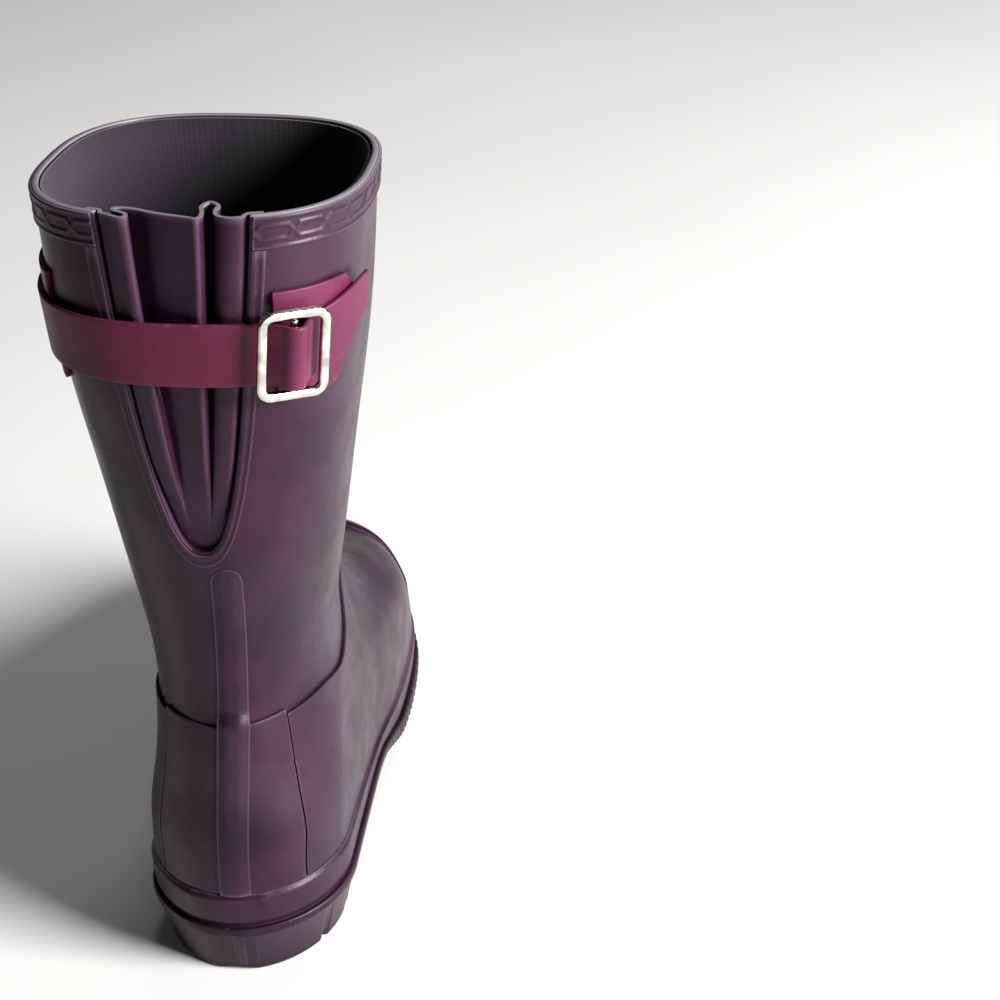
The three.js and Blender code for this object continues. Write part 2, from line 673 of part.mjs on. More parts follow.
function anchorPatch() {
  const end = anchorStart + anchorLength;
  return patch('strap_anchor_patch', -1, [[-patchHalf, anchorStart, end - 6], [-8, anchorStart, end + 4],
    [4, anchorStart, end + 12], [patchHalf, anchorStart, end - 2]]);
}
function intoBuckle(mesh) {
  const place = new THREE.Matrix4().makeBasis(buckle.forward, buckle.up, buckle.forward.clone().cross(buckle.up));
  place.setPosition(buckleSpot(0, buckleLift));
  mesh.applyMatrix4(place);
  return mesh;
}
function buckleFrame() {
  const rounded = (w, h, r) => {
    const shape = new THREE.Path();
    shape.moveTo(-w / 2 + r, -h / 2);
    for (const [x, y, turn] of [[1, -1, -90], [1, 1, 0], [-1, 1, 90], [-1, -1, 180]]) {
      shape.absarc(x * (w / 2 - r), y * (h / 2 - r), r, rad(turn), rad(turn + 90));
    }
    return shape;
  };
  const shape = new THREE.Shape(rounded(buckleLength, buckleHeight, buckleCorner).getPoints(4));
  const [windowLength, windowHeight] = [buckleLength, buckleHeight].map((v) => v - 2 * buckleBarWidth);
  shape.holes.push(rounded(windowLength, windowHeight, buckleCorner - 2.8));
  const geometry = new THREE.ExtrudeGeometry(shape, { depth: buckleBarThickness, bevelEnabled: false,
    curveSegments: 4 });
  geometry.translate(0, 0, -buckleBarThickness / 2);
  const mesh = new THREE.Mesh(geometry, nickel);
  mesh.name = 'buckle_frame';
  return intoBuckle(mesh);
}
function buckleBar() {
  const length = buckleHeight - 2 * buckleBarWidth - 2 * gap;
  const mesh = new THREE.Mesh(new THREE.CylinderGeometry(barDiameter / 2, barDiameter / 2, length, 16), nickel);
  mesh.name = 'buckle_bar';
  return intoBuckle(mesh);
}

// ---------- labels ----------

const labelZ = legHeight - labelBelowRim;
function frontPanel(name, [width, height], low, thickness, material) {
  return laid(name, 6, 2, (i, j) => {
    const z = labelZ + height * (j / 2 - 0.5);
    return [acrossFront(labelAside + width * (i / 6 - 0.5), z), z];
  }, [low, low + thickness], material);
}
function sizeMark() {
  const depth = -shellWall - liningGap - liningWall - 3 * gap;
  const [width, height] = sizeLabel;
  return laid('size_label', 3, 2, (i, j) => {
    const z = legHeight - sizeLabelBelowRim + height * (j / 2 - 0.5);
    return [along(sizeLabelAt + width * (i / 3 - 0.5), z), z];
  }, [depth - sizeLabelWall, depth], greyTransfer);
}

// ---------- the boot ----------

const boot = new THREE.Group();
boot.add(outsole(), heelBlock(), foxing(), legShell(), lining(), gusset(), seamTape(), topBand());
boot.add(vampOverlay(), toeCap(), heelCounter(), backStay(), toePuff(), heelStiffener());
boot.add(innerLayer('midsole_filler', -88, -188, insideShell + 1, fillerLift, fillerThickness, sponge));
boot.add(innerLayer('heel_filler', 58, 18, insideShell + 1, fillerLift, fillerThickness, sponge));
boot.add(shank());
boot.add(innerLayer('insole_board', 60, -192, insideShell, boardLift, boardThickness, board));
boot.add(innerLayer('footbed', 58, -188, insideLining, bedLift, footbedThickness, sponge));
boot.add(strap(), anchorPatch(), bucklePatch(), buckleLoop(), buckleFrame(), buckleBar());
boot.add(frontPanel('label_frame', labelSize, laidGap, labelBacking, redRubber));
boot.add(frontPanel('label_plate', labelSize.map((v) => v - 2 * labelBorder), laidGap + labelBacking + gap,
  labelPlate, whiteRubber));
boot.add(sizeMark());

// The origin is under the middle of the boot's outer box.
const bounds = new THREE.Box3().setFromObject(boot);
boot.position.set(-(bounds.min.x + bounds.max.x) / 2, -(bounds.min.y + bounds.max.y) / 2, -bounds.min.z);

export default boot;
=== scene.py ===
# %% [markdown]
# # A rubber rain boot with an adjustable back
# A rain boot like this is built on a foot-shaped form, the last. A knit lining is
# pulled over it, sheets of raw rubber are laid on, and the whole boot is cured in one go.
# The model follows that order: one smooth last is written as formulas, and every rubber
# piece is a flat grid that is wrapped on the last at its own depth and given a wall.
# It could also be sculpted from one block, but then no piece would keep its own wall.

import json
import math

import bpy
import numpy as np
from mathutils import Matrix, Vector


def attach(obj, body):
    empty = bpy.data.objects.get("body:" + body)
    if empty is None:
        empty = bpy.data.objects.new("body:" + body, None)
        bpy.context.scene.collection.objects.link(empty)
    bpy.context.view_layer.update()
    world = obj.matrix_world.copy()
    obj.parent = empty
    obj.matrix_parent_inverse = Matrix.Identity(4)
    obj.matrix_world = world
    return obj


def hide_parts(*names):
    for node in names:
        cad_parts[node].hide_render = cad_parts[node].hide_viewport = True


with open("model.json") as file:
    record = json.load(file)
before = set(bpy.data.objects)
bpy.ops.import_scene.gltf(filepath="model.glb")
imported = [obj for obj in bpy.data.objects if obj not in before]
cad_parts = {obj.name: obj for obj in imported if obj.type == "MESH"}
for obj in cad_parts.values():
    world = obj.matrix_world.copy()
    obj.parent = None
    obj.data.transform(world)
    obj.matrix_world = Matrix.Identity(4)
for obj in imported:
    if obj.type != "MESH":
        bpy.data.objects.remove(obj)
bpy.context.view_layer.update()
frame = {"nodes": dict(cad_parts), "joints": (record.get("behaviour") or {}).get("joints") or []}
MM = 0.001

# %% [markdown]
# ## The last
# The last is a surface that is read by an angle and a height. The angle starts at the
# back centre, goes round by the outer side and comes back by the inner side. Its front,
# back and side lines are smooth curves through a few measured points, in millimetres.
# A lofted or sculpted last would do too; formulas let every piece ask for its own place.

# %% Smooth curves
LEG_HEIGHT = 306
RIM_RISE = 0.055


def smooth(a, b, x):
    t = np.clip((x - a) / (b - a), 0, 1)
    return t * t * (3 - 2 * t)


def mix(a, b, t):
    return a + (b - a) * t


def curve(points):
    xs, ys = np.array(points, float).T
    step = np.diff(xs)
    rise = np.diff(ys) / step
    slope = np.concatenate([rise[:1], (step[1:] * rise[:-1] + step[:-1] * rise[1:])
                            / (step[:-1] + step[1:]), rise[-1:]])

    def at(value):
        x = np.clip(value, xs[0], xs[-1])
        i = np.clip(np.searchsorted(xs, x, side="right") - 1, 0, len(step) - 1)
        h = step[i]
        t = (x - xs[i]) / h
        return (ys[i] * (1 + 2 * t) * (1 - t) ** 2 + ys[i + 1] * t * t * (3 - 2 * t)
                + h * (slope[i] * t * (1 - t) ** 2 - slope[i + 1] * t * t * (1 - t)))
    return at


front_line = curve([[0, -188], [12, -196], [30, -198.5], [48, -192], [60, -180], [72, -151],
                    [85, -120], [100, -93], [120, -69.5], [150, -57.5], [200, -60], [250, -61],
                    [306, -63]])
back_line = curve([[0, 64], [12, 63], [35, 66], [60, 66], [90, 60.5], [120, 55.5], [150, 54],
                   [200, 58], [250, 61], [306, 60]])
outer_width = curve([[-204, 39], [-170, 41], [-130, 44.5], [-90, 43.5], [-50, 40], [0, 38],
                     [40, 37], [72, 36]])
inner_width = curve([[-204, 36], [-170, 42], [-130, 47], [-90, 38], [-50, 28], [0, 27],
                     [40, 33], [72, 33]])
leg_width = curve([[90, 33.4], [130, 35], [160, 39.5], [200, 45], [250, 52], [306, 56]])
toe_radius = curve([[0, 48], [45, 70], [70, 80], [95, 110], [130, 90]])
HEEL_RADIUS = 40

# %% The last and its skin


def half_width(y, z, outer):
    leg = smooth(60, 140, z)
    front, back = front_line(z), back_line(z)
    foot = np.where(outer, outer_width(y), inner_width(y))
    foot = foot * (1 + 0.04 * np.sin(np.pi * np.clip(z / 80, 0, 1)))
    half = (back - front) / 2
    power = mix(2, 2.7, smooth(120, 290, z))
    from_front = np.clip((y - front) / mix(toe_radius(z), half, leg), 0, 1)
    from_back = np.clip((back - y) / mix(HEEL_RADIUS, half, leg), 0, 1)
    width = mix(foot, leg_width(z), leg)
    for share in (from_front, from_back):
        width = width * np.maximum(0, 1 - (1 - share) ** power) ** (1 / power)
    return width


def last(theta, z):
    theta, z = np.broadcast_arrays(np.asarray(theta, float), np.asarray(z, float))
    front, back = front_line(z), back_line(z)
    y = back - (back - front) * (1 - np.cos(theta)) / 2
    outer = np.sin(theta) >= 0
    x = half_width(y, z, outer) * np.where(outer, -1, 1)
    return np.stack([x, y, z + smooth(150, LEG_HEIGHT, z) * RIM_RISE * y], -1)


def unit(v):
    return v / np.maximum(np.linalg.norm(v, axis=-1, keepdims=True), 1e-9)


def outward(theta, z):
    around = last(theta + 0.004, z) - last(theta - 0.004, z)
    up = last(theta, np.minimum(z + 0.5, LEG_HEIGHT)) - last(theta, z - 0.5)
    return unit(np.cross(around, up))


def skin(theta, z, depth):
    return last(theta, z) + outward(theta, z) * np.asarray(depth, float)[..., None]


print("last, mm:", last(math.pi, 30).round(1), last(math.pi / 2, 200).round(1))

# %% Distances along the leg
TURNS = np.linspace(0, math.pi, 361)


def by_level(values, z, table):
    """Look each value up in a table made for its height."""
    values, z = np.broadcast_arrays(np.asarray(values, float), np.asarray(z, float))
    found = np.zeros(values.shape)
    levels, which = np.unique(np.round(z, 2), return_inverse=True)
    which = which.reshape(z.shape)
    for k, level in enumerate(levels):
        here = which == k
        found[here] = table(values[here], level)
    return found


def along(distance, z):
    """The angle at a distance from the back centre; the outer side is positive."""
    def table(values, level):
        out = np.zeros(values.shape)
        for side in (1, -1):
            line = last(side * TURNS, level)
            length = np.concatenate([[0], np.cumsum(np.linalg.norm(np.diff(line, axis=0), axis=1))])
            pick = np.sign(values) == side
            out[pick] = side * np.interp(np.abs(values[pick]), length, TURNS)
        return out
    return by_level(distance, z, table)


def across_front(x, z):
    """The angle on the front of the leg at a place across it."""
    def table(values, level):
        theta = TURNS + math.pi / 2
        return np.interp(values, last(theta, level)[:, 0], theta)
    return by_level(x, z, table)


def from_back(theta):
    return np.degrees(np.arccos(np.cos(theta)))


# %% [markdown]
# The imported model's origin is under the middle of its outer box, and the last's is under
# the ankle. The buckle's joint is known in both, so it gives the shift between them.

# %% Shift from the last to the frame
STRAP_Z = 261
BUCKLE_AT = 34
BUCKLE_LIFT = 6.4


def leg_frame(distance):
    theta = float(along(distance, STRAP_Z))
    normal = outward(theta, STRAP_Z)
    up = unit(last(theta, STRAP_Z + 5) - last(theta, STRAP_Z - 5))
    return last(theta, STRAP_Z), normal, up, unit(np.cross(up, normal))


buckle_foot, buckle_normal, buckle_up, buckle_forward = leg_frame(BUCKLE_AT)
buckle_forward = buckle_forward * -np.sign(buckle_forward[1])


def buckle_spot(a, b):
    return buckle_foot + buckle_forward * a + buckle_normal * b


pivot = np.array(frame["joints"][0]["pos_m"]) / MM
SHIFT = pivot - buckle_spot(0, BUCKLE_LIFT)
SHIFT[[0, 2]] = 0
print("shift, mm:", SHIFT.round(3))

# %% [markdown]
# ## Wrapping a sheet on the last
# Each rubber piece starts as a grid primitive, as a sheet lies flat on the cutting table.
# Its vertices are moved to their places, vertices that meet are merged, Solidify gives
# it a second face, and that face is put at its own depth. Bevel rounds most cut edges.

# %% Helpers for a piece


def only(piece):
    bpy.ops.object.select_all(action="DESELECT")
    piece.select_set(True)
    bpy.context.view_layer.objects.active = piece


def points_of(piece):
    co = np.empty(len(piece.data.vertices) * 3)
    piece.data.vertices.foreach_get("co", co)
    return co.reshape(-1, 3)


def put_points(piece, points):
    piece.data.vertices.foreach_set("co", np.asarray(points, float).ravel())
    piece.data.update()


def to_frame(points):
    return (points + SHIFT) * MM


def in_edit_mode(piece, *steps):
    only(piece)
    bpy.ops.object.mode_set(mode="EDIT")
    bpy.ops.mesh.select_all(action="SELECT")
    for operator, settings in steps:
        operator(**settings)
    bpy.ops.object.mode_set(mode="OBJECT")


def finish_with(piece, kind, **settings):
    modifier = piece.modifiers.new(kind.title(), kind)
    for key, value in settings.items():
        setattr(modifier, key, value)
    only(piece)
    bpy.ops.object.modifier_apply(modifier=modifier.name)


def rounded(piece, width, segments=2, angle=50):
    finish_with(piece, "BEVEL", width=width * MM, segments=segments, limit_method="ANGLE",
                angle_limit=math.radians(angle), use_clamp_overlap=False)


def smoothed(piece, angle=40):
    only(piece)
    bpy.ops.object.shade_smooth_by_angle(angle=math.radians(angle))
    print(f"{piece.name}: {len(piece.data.polygons)} faces")


def stored(piece, name):
    values = np.empty(len(piece.data.vertices))
    piece.data.attributes[name].data.foreach_get("value", values)
    return values


# %% A walled piece from a grid


def walled(name, columns, rows, outer, inner):
    """outer and inner give the two faces' points for shares across and up the sheet."""
    bpy.ops.object.select_all(action="DESELECT")
    bpy.ops.mesh.primitive_grid_add(x_subdivisions=columns, y_subdivisions=rows, size=1)
    piece = bpy.context.object
    piece.name = name
    flat = points_of(piece)
    for k, key in enumerate(("across", "upward")):
        piece.data.attributes.new(key, "FLOAT", "POINT").data.foreach_set("value", flat[:, k] + 0.5)
    put_points(piece, to_frame(outer(flat[:, 0] + 0.5, flat[:, 1] + 0.5)))
    in_edit_mode(piece, (bpy.ops.mesh.remove_doubles, {"threshold": 0.001 * MM}),
                 (bpy.ops.mesh.dissolve_degenerate, {"threshold": 0.0005 * MM}))
    count = len(piece.data.vertices)
    finish_with(piece, "SOLIDIFY", thickness=1 * MM, offset=-1)
    places = points_of(piece)
    places[count:] = to_frame(inner(stored(piece, "across"), stored(piece, "upward")))[count:]
    put_points(piece, places)
    return piece


# %% [markdown]
# ## Levels and edges
# The sole, the foxing that covers the joint above it, and the opening at the back of the
# leg are shared by many pieces, so their heights and edges are written once.

# %% Levels of the sole and edges of the opening
FOXING_OUT = 2.6
LAID = 0.4
EDGE_OUT = LAID + FOXING_OUT + 1.6
PLAN = 24
GAP = 0.3
sole_top = curve([[-206, 31], [-185, 23], [-160, 16], [-130, 12.5], [-90, 13], [-65, 19.5],
                  [-46, 24.6], [-34, 25.5], [-20, 25.5], [70, 25.5]])
foxing_line = curve([[-206, 48], [-192, 45], [-178, 37], [-160, 29], [-130, 26], [-90, 27],
                     [-40, 33], [0, 38], [40, 41.5], [70, 42]])
NOTCH_BOTTOM = 185
NOTCH_DEPTH = 121
NOTCH_HALF = 25
NOTCH_POWER = 2.4


def seat(theta):
    return sole_top(skin(theta, PLAN, EDGE_OUT)[..., 1]) + GAP


def foxing_top(theta):
    return foxing_line(last(theta, PLAN)[..., 1])


def notch_width(z, margin=0):
    share = np.clip((z - NOTCH_BOTTOM + margin) / (NOTCH_DEPTH + margin), 0, 1)
    return np.where(share > 0, (NOTCH_HALF + margin) * share ** (1 / NOTCH_POWER), 0)


def around_opening(u, z, margin=0):
    """Shares 0 to 1 go round the leg from one edge of the opening to the other."""
    edge = along(notch_width(z, margin), z)
    return mix(edge, 2 * math.pi - edge, u)


# %% [markdown]
# ## The leg
# The leg is one sheet of rubber, 2.2 mm thick, open down the back where the gusset goes.
# Its rows crowd together at the foot of the opening, where the edge turns quickly.

# %% Leg shell
SHELL_WALL = 2.2
leg_levels = np.concatenate([np.arange(60, NOTCH_BOTTOM, 2.5),
                             NOTCH_BOTTOM + NOTCH_DEPTH * np.linspace(0, 1, 61) ** 1.35])
LOW_ROWS = 14
leg_rows = LOW_ROWS + len(leg_levels) - 1


def leg_place(u, v):
    row = v * leg_rows
    z = np.interp(row, np.arange(LOW_ROWS, leg_rows + 1), leg_levels)
    z = np.round(z, 4)
    theta = around_opening(u, z)
    low = row < LOW_ROWS - 1e-4
    start = seat(theta)
    return theta, np.where(low, mix(start, leg_levels[0], row / LOW_ROWS), z)


def at_depth(place, depth):
    def points(u, v):
        theta, z = place(u, v)
        return skin(theta, z, depth(theta, z) if callable(depth) else np.full(theta.shape, depth))
    return points


leg = walled("leg_shell_fine", 220, leg_rows,
             at_depth(leg_place, 0.0), at_depth(leg_place, -SHELL_WALL))
rounded(leg, 0.45)
smoothed(leg)

# %% [markdown]
# ## The lining
# A knit sleeve is bonded to the inside of the rubber. It has the leg's shape a little
# further in, and steps inwards over the stiff pieces at the toe and the heel. Its own
# UV map holds real distances, so the stitches follow the cloth.

# %% Knit lining
LINING_WALL = 0.8
LINING_DEPTH = 2.7
STIFFENER_STEP = 1.5
LINING_MARGIN = 11
ROUND_THE_LEG = 0.36
RIM_STEP = 1.0
lining_levels = np.concatenate([np.arange(60, 300, 4.0), [302, LEG_HEIGHT - RIM_STEP]])
LINING_LOW = 10
lining_rows = LINING_LOW + len(lining_levels) - 1


def lining_place(u, v):
    row = v * lining_rows
    z = np.round(np.interp(row, np.arange(LINING_LOW, lining_rows + 1), lining_levels), 4)
    theta = around_opening(u, z, LINING_MARGIN)
    return theta, np.where(row < LINING_LOW - 1e-4,
                           mix(seat(theta) + 5, lining_levels[0], row / LINING_LOW), z)


def lining_face(theta, z):
    toe = smooth(95, 110, from_back(theta)) * (1 - smooth(68, 84, z))
    heel = (1 - smooth(58, 74, from_back(theta))) * (1 - smooth(95, 112, z))
    return -LINING_DEPTH - STIFFENER_STEP * np.maximum(toe, heel)


def real_uv(piece, around, up):
    """Write distances in metres into the piece's UV map."""
    layer = piece.data.uv_layers.active or piece.data.uv_layers.new(name="UVMap")
    which = np.empty(len(piece.data.loops), int)
    piece.data.loops.foreach_get("vertex_index", which)
    layer.data.foreach_set("uv", np.stack([around[which], up[which]], -1).ravel())


lining = walled("knit_lining", 150, lining_rows, at_depth(lining_place, lining_face),
                at_depth(lining_place, lambda theta, z: lining_face(theta, z) - LINING_WALL))
heights = points_of(lining)[:, 2]
real_uv(lining, stored(lining, "across") * ROUND_THE_LEG, heights)
smoothed(lining)

# %% [markdown]
# ## The gusset
# The opening at the back is closed by a thinner sheet with two pleats, so the boot can
# widen round a calf. Across the opening the sheet follows a smooth line through a few
# points. One pleat folds flat behind its own edge and the other opens as a deep valley.

# %% Pleated gusset
GUSSET_WALL = 1.3
FLANGE = 5
PLEAT_DEPTH = 13
LEAST_HALF = 4.5
GUSSET_TOP = LEG_HEIGHT - 0.3
gusset_foot = NOTCH_BOTTOM - FLANGE + 1
# Each row holds a point's place at the rim, its place low down, and its depth. Places are
# shares of the sheet's half width, and depths are shares of PLEAT_DEPTH.
pleats = np.array([
    [-0.95, -0.95, 0.04], [-0.85, -0.84, 0.0], [-0.74, -0.72, -0.1], [-0.64, -0.62, -0.16],
    [-0.585, -0.56, -0.1], [-0.6, -0.535, 0.08], [-0.7, -0.52, 0.2], [-0.82, -0.505, 0.3],
    [-0.86, -0.49, 0.4], [-0.8, -0.47, 0.5], [-0.66, -0.43, 0.52], [-0.5, -0.37, 0.46],
    [-0.32, -0.28, 0.32], [-0.1, -0.1, 0.18], [0.12, 0.1, 0.06], [0.27, 0.22, -0.04],
    [0.335, 0.29, -0.08], [0.37, 0.33, 0.02], [0.38, 0.36, 0.4], [0.34, 0.385, 0.8],
    [0.44, 0.42, 1.15], [0.58, 0.455, 0.9], [0.56, 0.48, 0.5], [0.6, 0.52, 0.15],
    [0.68, 0.6, 0.02], [0.8, 0.75, -0.04], [0.92, 0.9, 0.0]])
GUSSET_COLUMNS, GUSSET_ROWS = 168, 90


def gusset_line(z):
    tucked = SHELL_WALL + GAP + GUSSET_WALL / 2
    inner = max(float(notch_width(z)) - 2 * GAP, LEAST_HALF)
    flange = max(float(notch_width(z, FLANGE)), LEAST_HALF + 2)
    rise = smooth(NOTCH_BOTTOM + 6, NOTCH_BOTTOM + 40, z)
    fall = PLEAT_DEPTH * (inner / NOTCH_HALF) ** 1.6
    folds = mix(pleats[:, 1], pleats[:, 0], smooth(0.6, 0.95, inner / NOTCH_HALF)) * inner
    places = np.concatenate([[-flange, -inner], folds, [inner, flange]])
    depths = np.concatenate([[tucked] * 2, mix(tucked, GUSSET_WALL / 2 + pleats[:, 2] * fall, rise),
                             [tucked] * 2])
    return skin(along(places, z), np.full(places.shape, z), -depths)


def gusset_sheet():
    rim = gusset_line(LEG_HEIGHT - 2)
    knots = np.concatenate([[0], np.cumsum(np.linalg.norm(np.diff(rim, axis=0), axis=1))])
    stations = np.linspace(0, knots[-1], GUSSET_COLUMNS + 1)
    levels = mix(gusset_foot, GUSSET_TOP, np.linspace(0, 1, GUSSET_ROWS + 1) ** 1.3)
    middle = []
    for z in levels:
        line = gusset_line(z)
        axes = [curve(np.stack([knots, line[:, k]], -1))(stations) for k in range(3)]
        middle.append(np.stack(axes, -1))
    middle = np.array(middle)
    travel = np.gradient(middle, axis=1)
    normal = unit(np.stack([travel[..., 1], -travel[..., 0], np.zeros(travel.shape[:2])], -1))
    return middle, normal


gusset_middle, gusset_normal = gusset_sheet()


def gusset_points(side):
    def points(u, v):
        i = np.round(u * GUSSET_COLUMNS).astype(int)
        j = np.round(v * GUSSET_ROWS).astype(int)
        return gusset_middle[j, i] + gusset_normal[j, i] * side * GUSSET_WALL / 2
    return points


gusset = walled("pleated_gusset", GUSSET_COLUMNS, GUSSET_ROWS, gusset_points(1), gusset_points(-1))
smoothed(gusset, 60)

# %% [markdown]
# A narrow tape covers the seam between leg and gusset. It has a raised bead along each
# side, which shows as a double line.

# %% Seam tape with two beads
TAPE_WIDTH = 4.5
TAPE_WALL = 0.6
BAND_HEIGHT = 11


def tape_place(u, v):
    q = mix(-1, 1, u)
    margin = 1 + (1 - v) * TAPE_WIDTH
    top = LEG_HEIGHT - BAND_HEIGHT - 2 * GAP
    z = NOTCH_BOTTOM - margin + (top - NOTCH_BOTTOM + margin) * np.abs(q) ** NOTCH_POWER
    return along(notch_width(z, margin) * np.sign(q), z), z


def tape_top(u, v):
    theta, z = tape_place(u, v)
    bead = np.exp(-((v - 0.2) / 0.13) ** 2) + np.exp(-((v - 0.8) / 0.13) ** 2)
    return skin(theta, z, LAID + TAPE_WALL * (0.3 + 0.45 * bead))


tape = walled("gusset_seam_beads", 160, 12, tape_top, at_depth(tape_place, 0.1))
smoothed(tape, 60)

# %% [markdown]
# ## The band at the rim
# A strip with an embossed chain of long six-sided links runs round the rim. The links
# are pressed into the strip by the mould, so they are real relief here: a fine grid is
# raised where a point lies near the outline of a link.

# %% Embossed rim band
BAND_WALL = 1.0
LINK_LENGTH = 12.5
LINK_HEIGHT = 4.4
band_low = LEG_HEIGHT - GAP - BAND_HEIGHT


def band_place(u, v):
    z = band_low + BAND_HEIGHT * v
    return around_opening(u, z, 1), z


def link_relief(distance, height):
    """Relief of a chain of links: distance runs along it and height across it."""
    pitch = LINK_LENGTH + 0.6
    x, y = np.abs(distance % pitch - pitch / 2), np.abs(height)
    edge = np.maximum(y - LINK_HEIGHT / 2, (x + 0.8 * y - LINK_LENGTH / 2) * 0.78)
    raised = np.exp(-(edge / 0.5) ** 2)
    border = np.exp(-((np.abs(height) - BAND_HEIGHT / 2 + 0.7) / 0.4) ** 2)
    return np.maximum(raised * 0.7, border * 0.8)


BAND_LENGTH = 322


def band_face(u, v):
    theta, z = band_place(u, v)
    relief = link_relief(u * BAND_LENGTH, (v - 0.5) * BAND_HEIGHT)
    return skin(theta, z, LAID + BAND_WALL * (0.35 + 0.65 * relief))


band = walled("rim_band", 560, 24, band_face, at_depth(band_place, 0.1))
smoothed(band, 60)

# %% [markdown]
# ## Panels of the foot
# The vamp covers the foot and climbs to an arch on the shin, the counter wraps the heel,
# and both stop at a seam beside the heel. Where the ankle bends, the vamp has soft
# creases: each is a shallow fold along a line on the last.

# %% Creases and lines
OVERLAY = 1.1


def line_distance(theta, z, route):
    """Distance in millimetres, about, to a route given in degrees from the back and mm."""
    degrees = (np.degrees(theta) + 180) % 360 - 180
    if route[0][0] < 0:
        degrees = np.where(degrees > 0, degrees - 360, degrees)
    scale = np.array([1.1, 1.0])
    p = np.stack([degrees, z], -1) * scale
    best = np.full(degrees.shape, 1e9)
    for a, b in zip(np.array(route[:-1], float) * scale, np.array(route[1:], float) * scale):
        share = np.clip(((p - a) @ (b - a)) / ((b - a) @ (b - a)), 0, 1)
        best = np.minimum(best, np.linalg.norm(p - a - share[..., None] * (b - a), axis=-1))
    return best


# Each fold is a route, a height and a width.
ankle_folds = [
    ([[-146, 114], [-158, 117], [-180, 117.5], [-196, 115]], 1.0, 2.2),
    ([[-84, 64], [-97, 77], [-110, 88], [-135, 101], [-165, 106], [-190, 104]], 0.8, 2.4)]
heel_line = [[14, 96.5], [24, 94], [38, 88], [50, 82]]


def relief(theta, z):
    """Fold lines on the foot: a crease with a low roll beside it."""
    out = np.zeros(np.broadcast(theta, z).shape)
    for route, height, width in ankle_folds:
        d = line_distance(theta, z, route)
        roll = 0.8 * np.exp(-((d - 1.4 * width) / width) ** 2)
        out = out + height * (roll - np.exp(-(d / (0.6 * width)) ** 2))
    d = line_distance(theta, z, heel_line)
    return out - 0.35 * np.exp(-(d / 0.7) ** 2)


def counter_edge(z):
    return np.radians(mix(25, 36, smooth(43, 112, z)))


vamp_line = curve([[30, 110], [60, 108], [85, 104], [105, 116], [120, 142], [135, 170],
                   [148, 189], [160, 199], [180, 204]])


def vamp_top(theta):
    return vamp_line(from_back(theta))


def overlay_start(theta):
    return foxing_top(theta) + GAP

# %% Vamp


def vamp_place(u, v):
    theta = mix(math.radians(32), math.radians(328), u)
    for _ in range(4):
        z = mix(overlay_start(theta), vamp_top(theta), v)
        edge = counter_edge(z) + math.radians(0.5)
        theta = mix(edge, 2 * math.pi - edge, u)
    return theta, mix(overlay_start(theta), vamp_top(theta), v)


vamp = walled("vamp", 240, 84,
              at_depth(vamp_place, lambda theta, z: LAID + OVERLAY + relief(theta, z) * 0.8),
              at_depth(vamp_place, 0.05))
rounded(vamp, 0.3)
smoothed(vamp)

# %% [markdown]
# The heel counter is the same kind of sheet, between its two seams. A rib, the back
# stay, runs up over it and ends in a round tip above the ankle. The stay is crowned
# across, so its sides catch the light.

# %% Heel counter and back stay
COUNTER_TOP = 112
ON_OVERLAY = LAID + OVERLAY + 2 * GAP
STAY_TOP = 178
STAY_HALF = 5.5
STAY_WALL = 1.5


def counter_place(u, v):
    theta = np.zeros(u.shape)
    for _ in range(3):
        z = mix(overlay_start(theta), COUNTER_TOP, v)
        theta = counter_edge(z) * mix(-1, 1, u)
    return theta, mix(overlay_start(theta), COUNTER_TOP, v)


counter = walled("heel_counter_panel", 44, 44,
                 at_depth(counter_place, lambda theta, z: LAID + OVERLAY + relief(theta, z)),
                 at_depth(counter_place, 0.05))
rounded(counter, 0.3)
smoothed(counter)


def stay_middle(z):
    return mix(3.5, 7, smooth(40, STAY_TOP, z))


def stay_place(u, v):
    foot = float(foxing_top(0.0)) + GAP
    z = mix(foot, STAY_TOP, 1 - (1 - v) ** 1.25)
    end = np.clip((z - STAY_TOP + STAY_HALF) / STAY_HALF, 0, 1)
    half = STAY_HALF * np.sqrt(1 - 0.985 * end * end)
    return along(stay_middle(z) + half * mix(-1, 1, u), z), z


def stay_low(z):
    return mix(ON_OVERLAY - GAP, LAID - GAP, smooth(112, 118, z))


def stay_face(u, v):
    theta, z = stay_place(u, v)
    side = np.abs(2 * u - 1)
    crown = 1 - 0.85 * smooth(0.25, 1.0, side)
    tip = 1 - 0.8 * smooth(STAY_TOP - 6, STAY_TOP, z)
    return skin(theta, z, stay_low(z) + (STAY_WALL + GAP) * (0.15 + 0.55 * crown * tip))


def stay_back(u, v):
    theta, z = stay_place(u, v)
    return skin(theta, z, stay_low(z) - 0.1)


stay = walled("back_rib", 16, 110, stay_face, stay_back)
smoothed(stay, 60)

# %% [markdown]
# ## Toe cap and foxing
# The cap is a second layer over the toe, with a bevelled upper edge. The foxing is the
# thick strip that seals the upper to the sole all round; a groove marks its top.

# %% Toe cap and foxing strip
CAP_WALL = 1.3
cap_line = curve([[126, 34], [144, 55], [158, 63], [180, 65]])


def cap_place(u, v):
    theta = mix(math.radians(130), math.radians(230), u)
    top = np.maximum(overlay_start(theta) + 1, cap_line(from_back(theta)))
    return theta, mix(overlay_start(theta), top, v)


def cap_face(u, v):
    theta, z = cap_place(u, v)
    bevel = 1 - 0.75 * smooth(0.92, 1, v)
    ends = 1 - 0.75 * smooth(0.9, 1, np.abs(2 * u - 1))
    return skin(theta, z, ON_OVERLAY - 0.4 + (CAP_WALL + 0.4) * bevel * ends)


cap = walled("toe_cap_layer", 90, 40, cap_face, at_depth(cap_place, LAID + OVERLAY - 0.2))
smoothed(cap, 60)


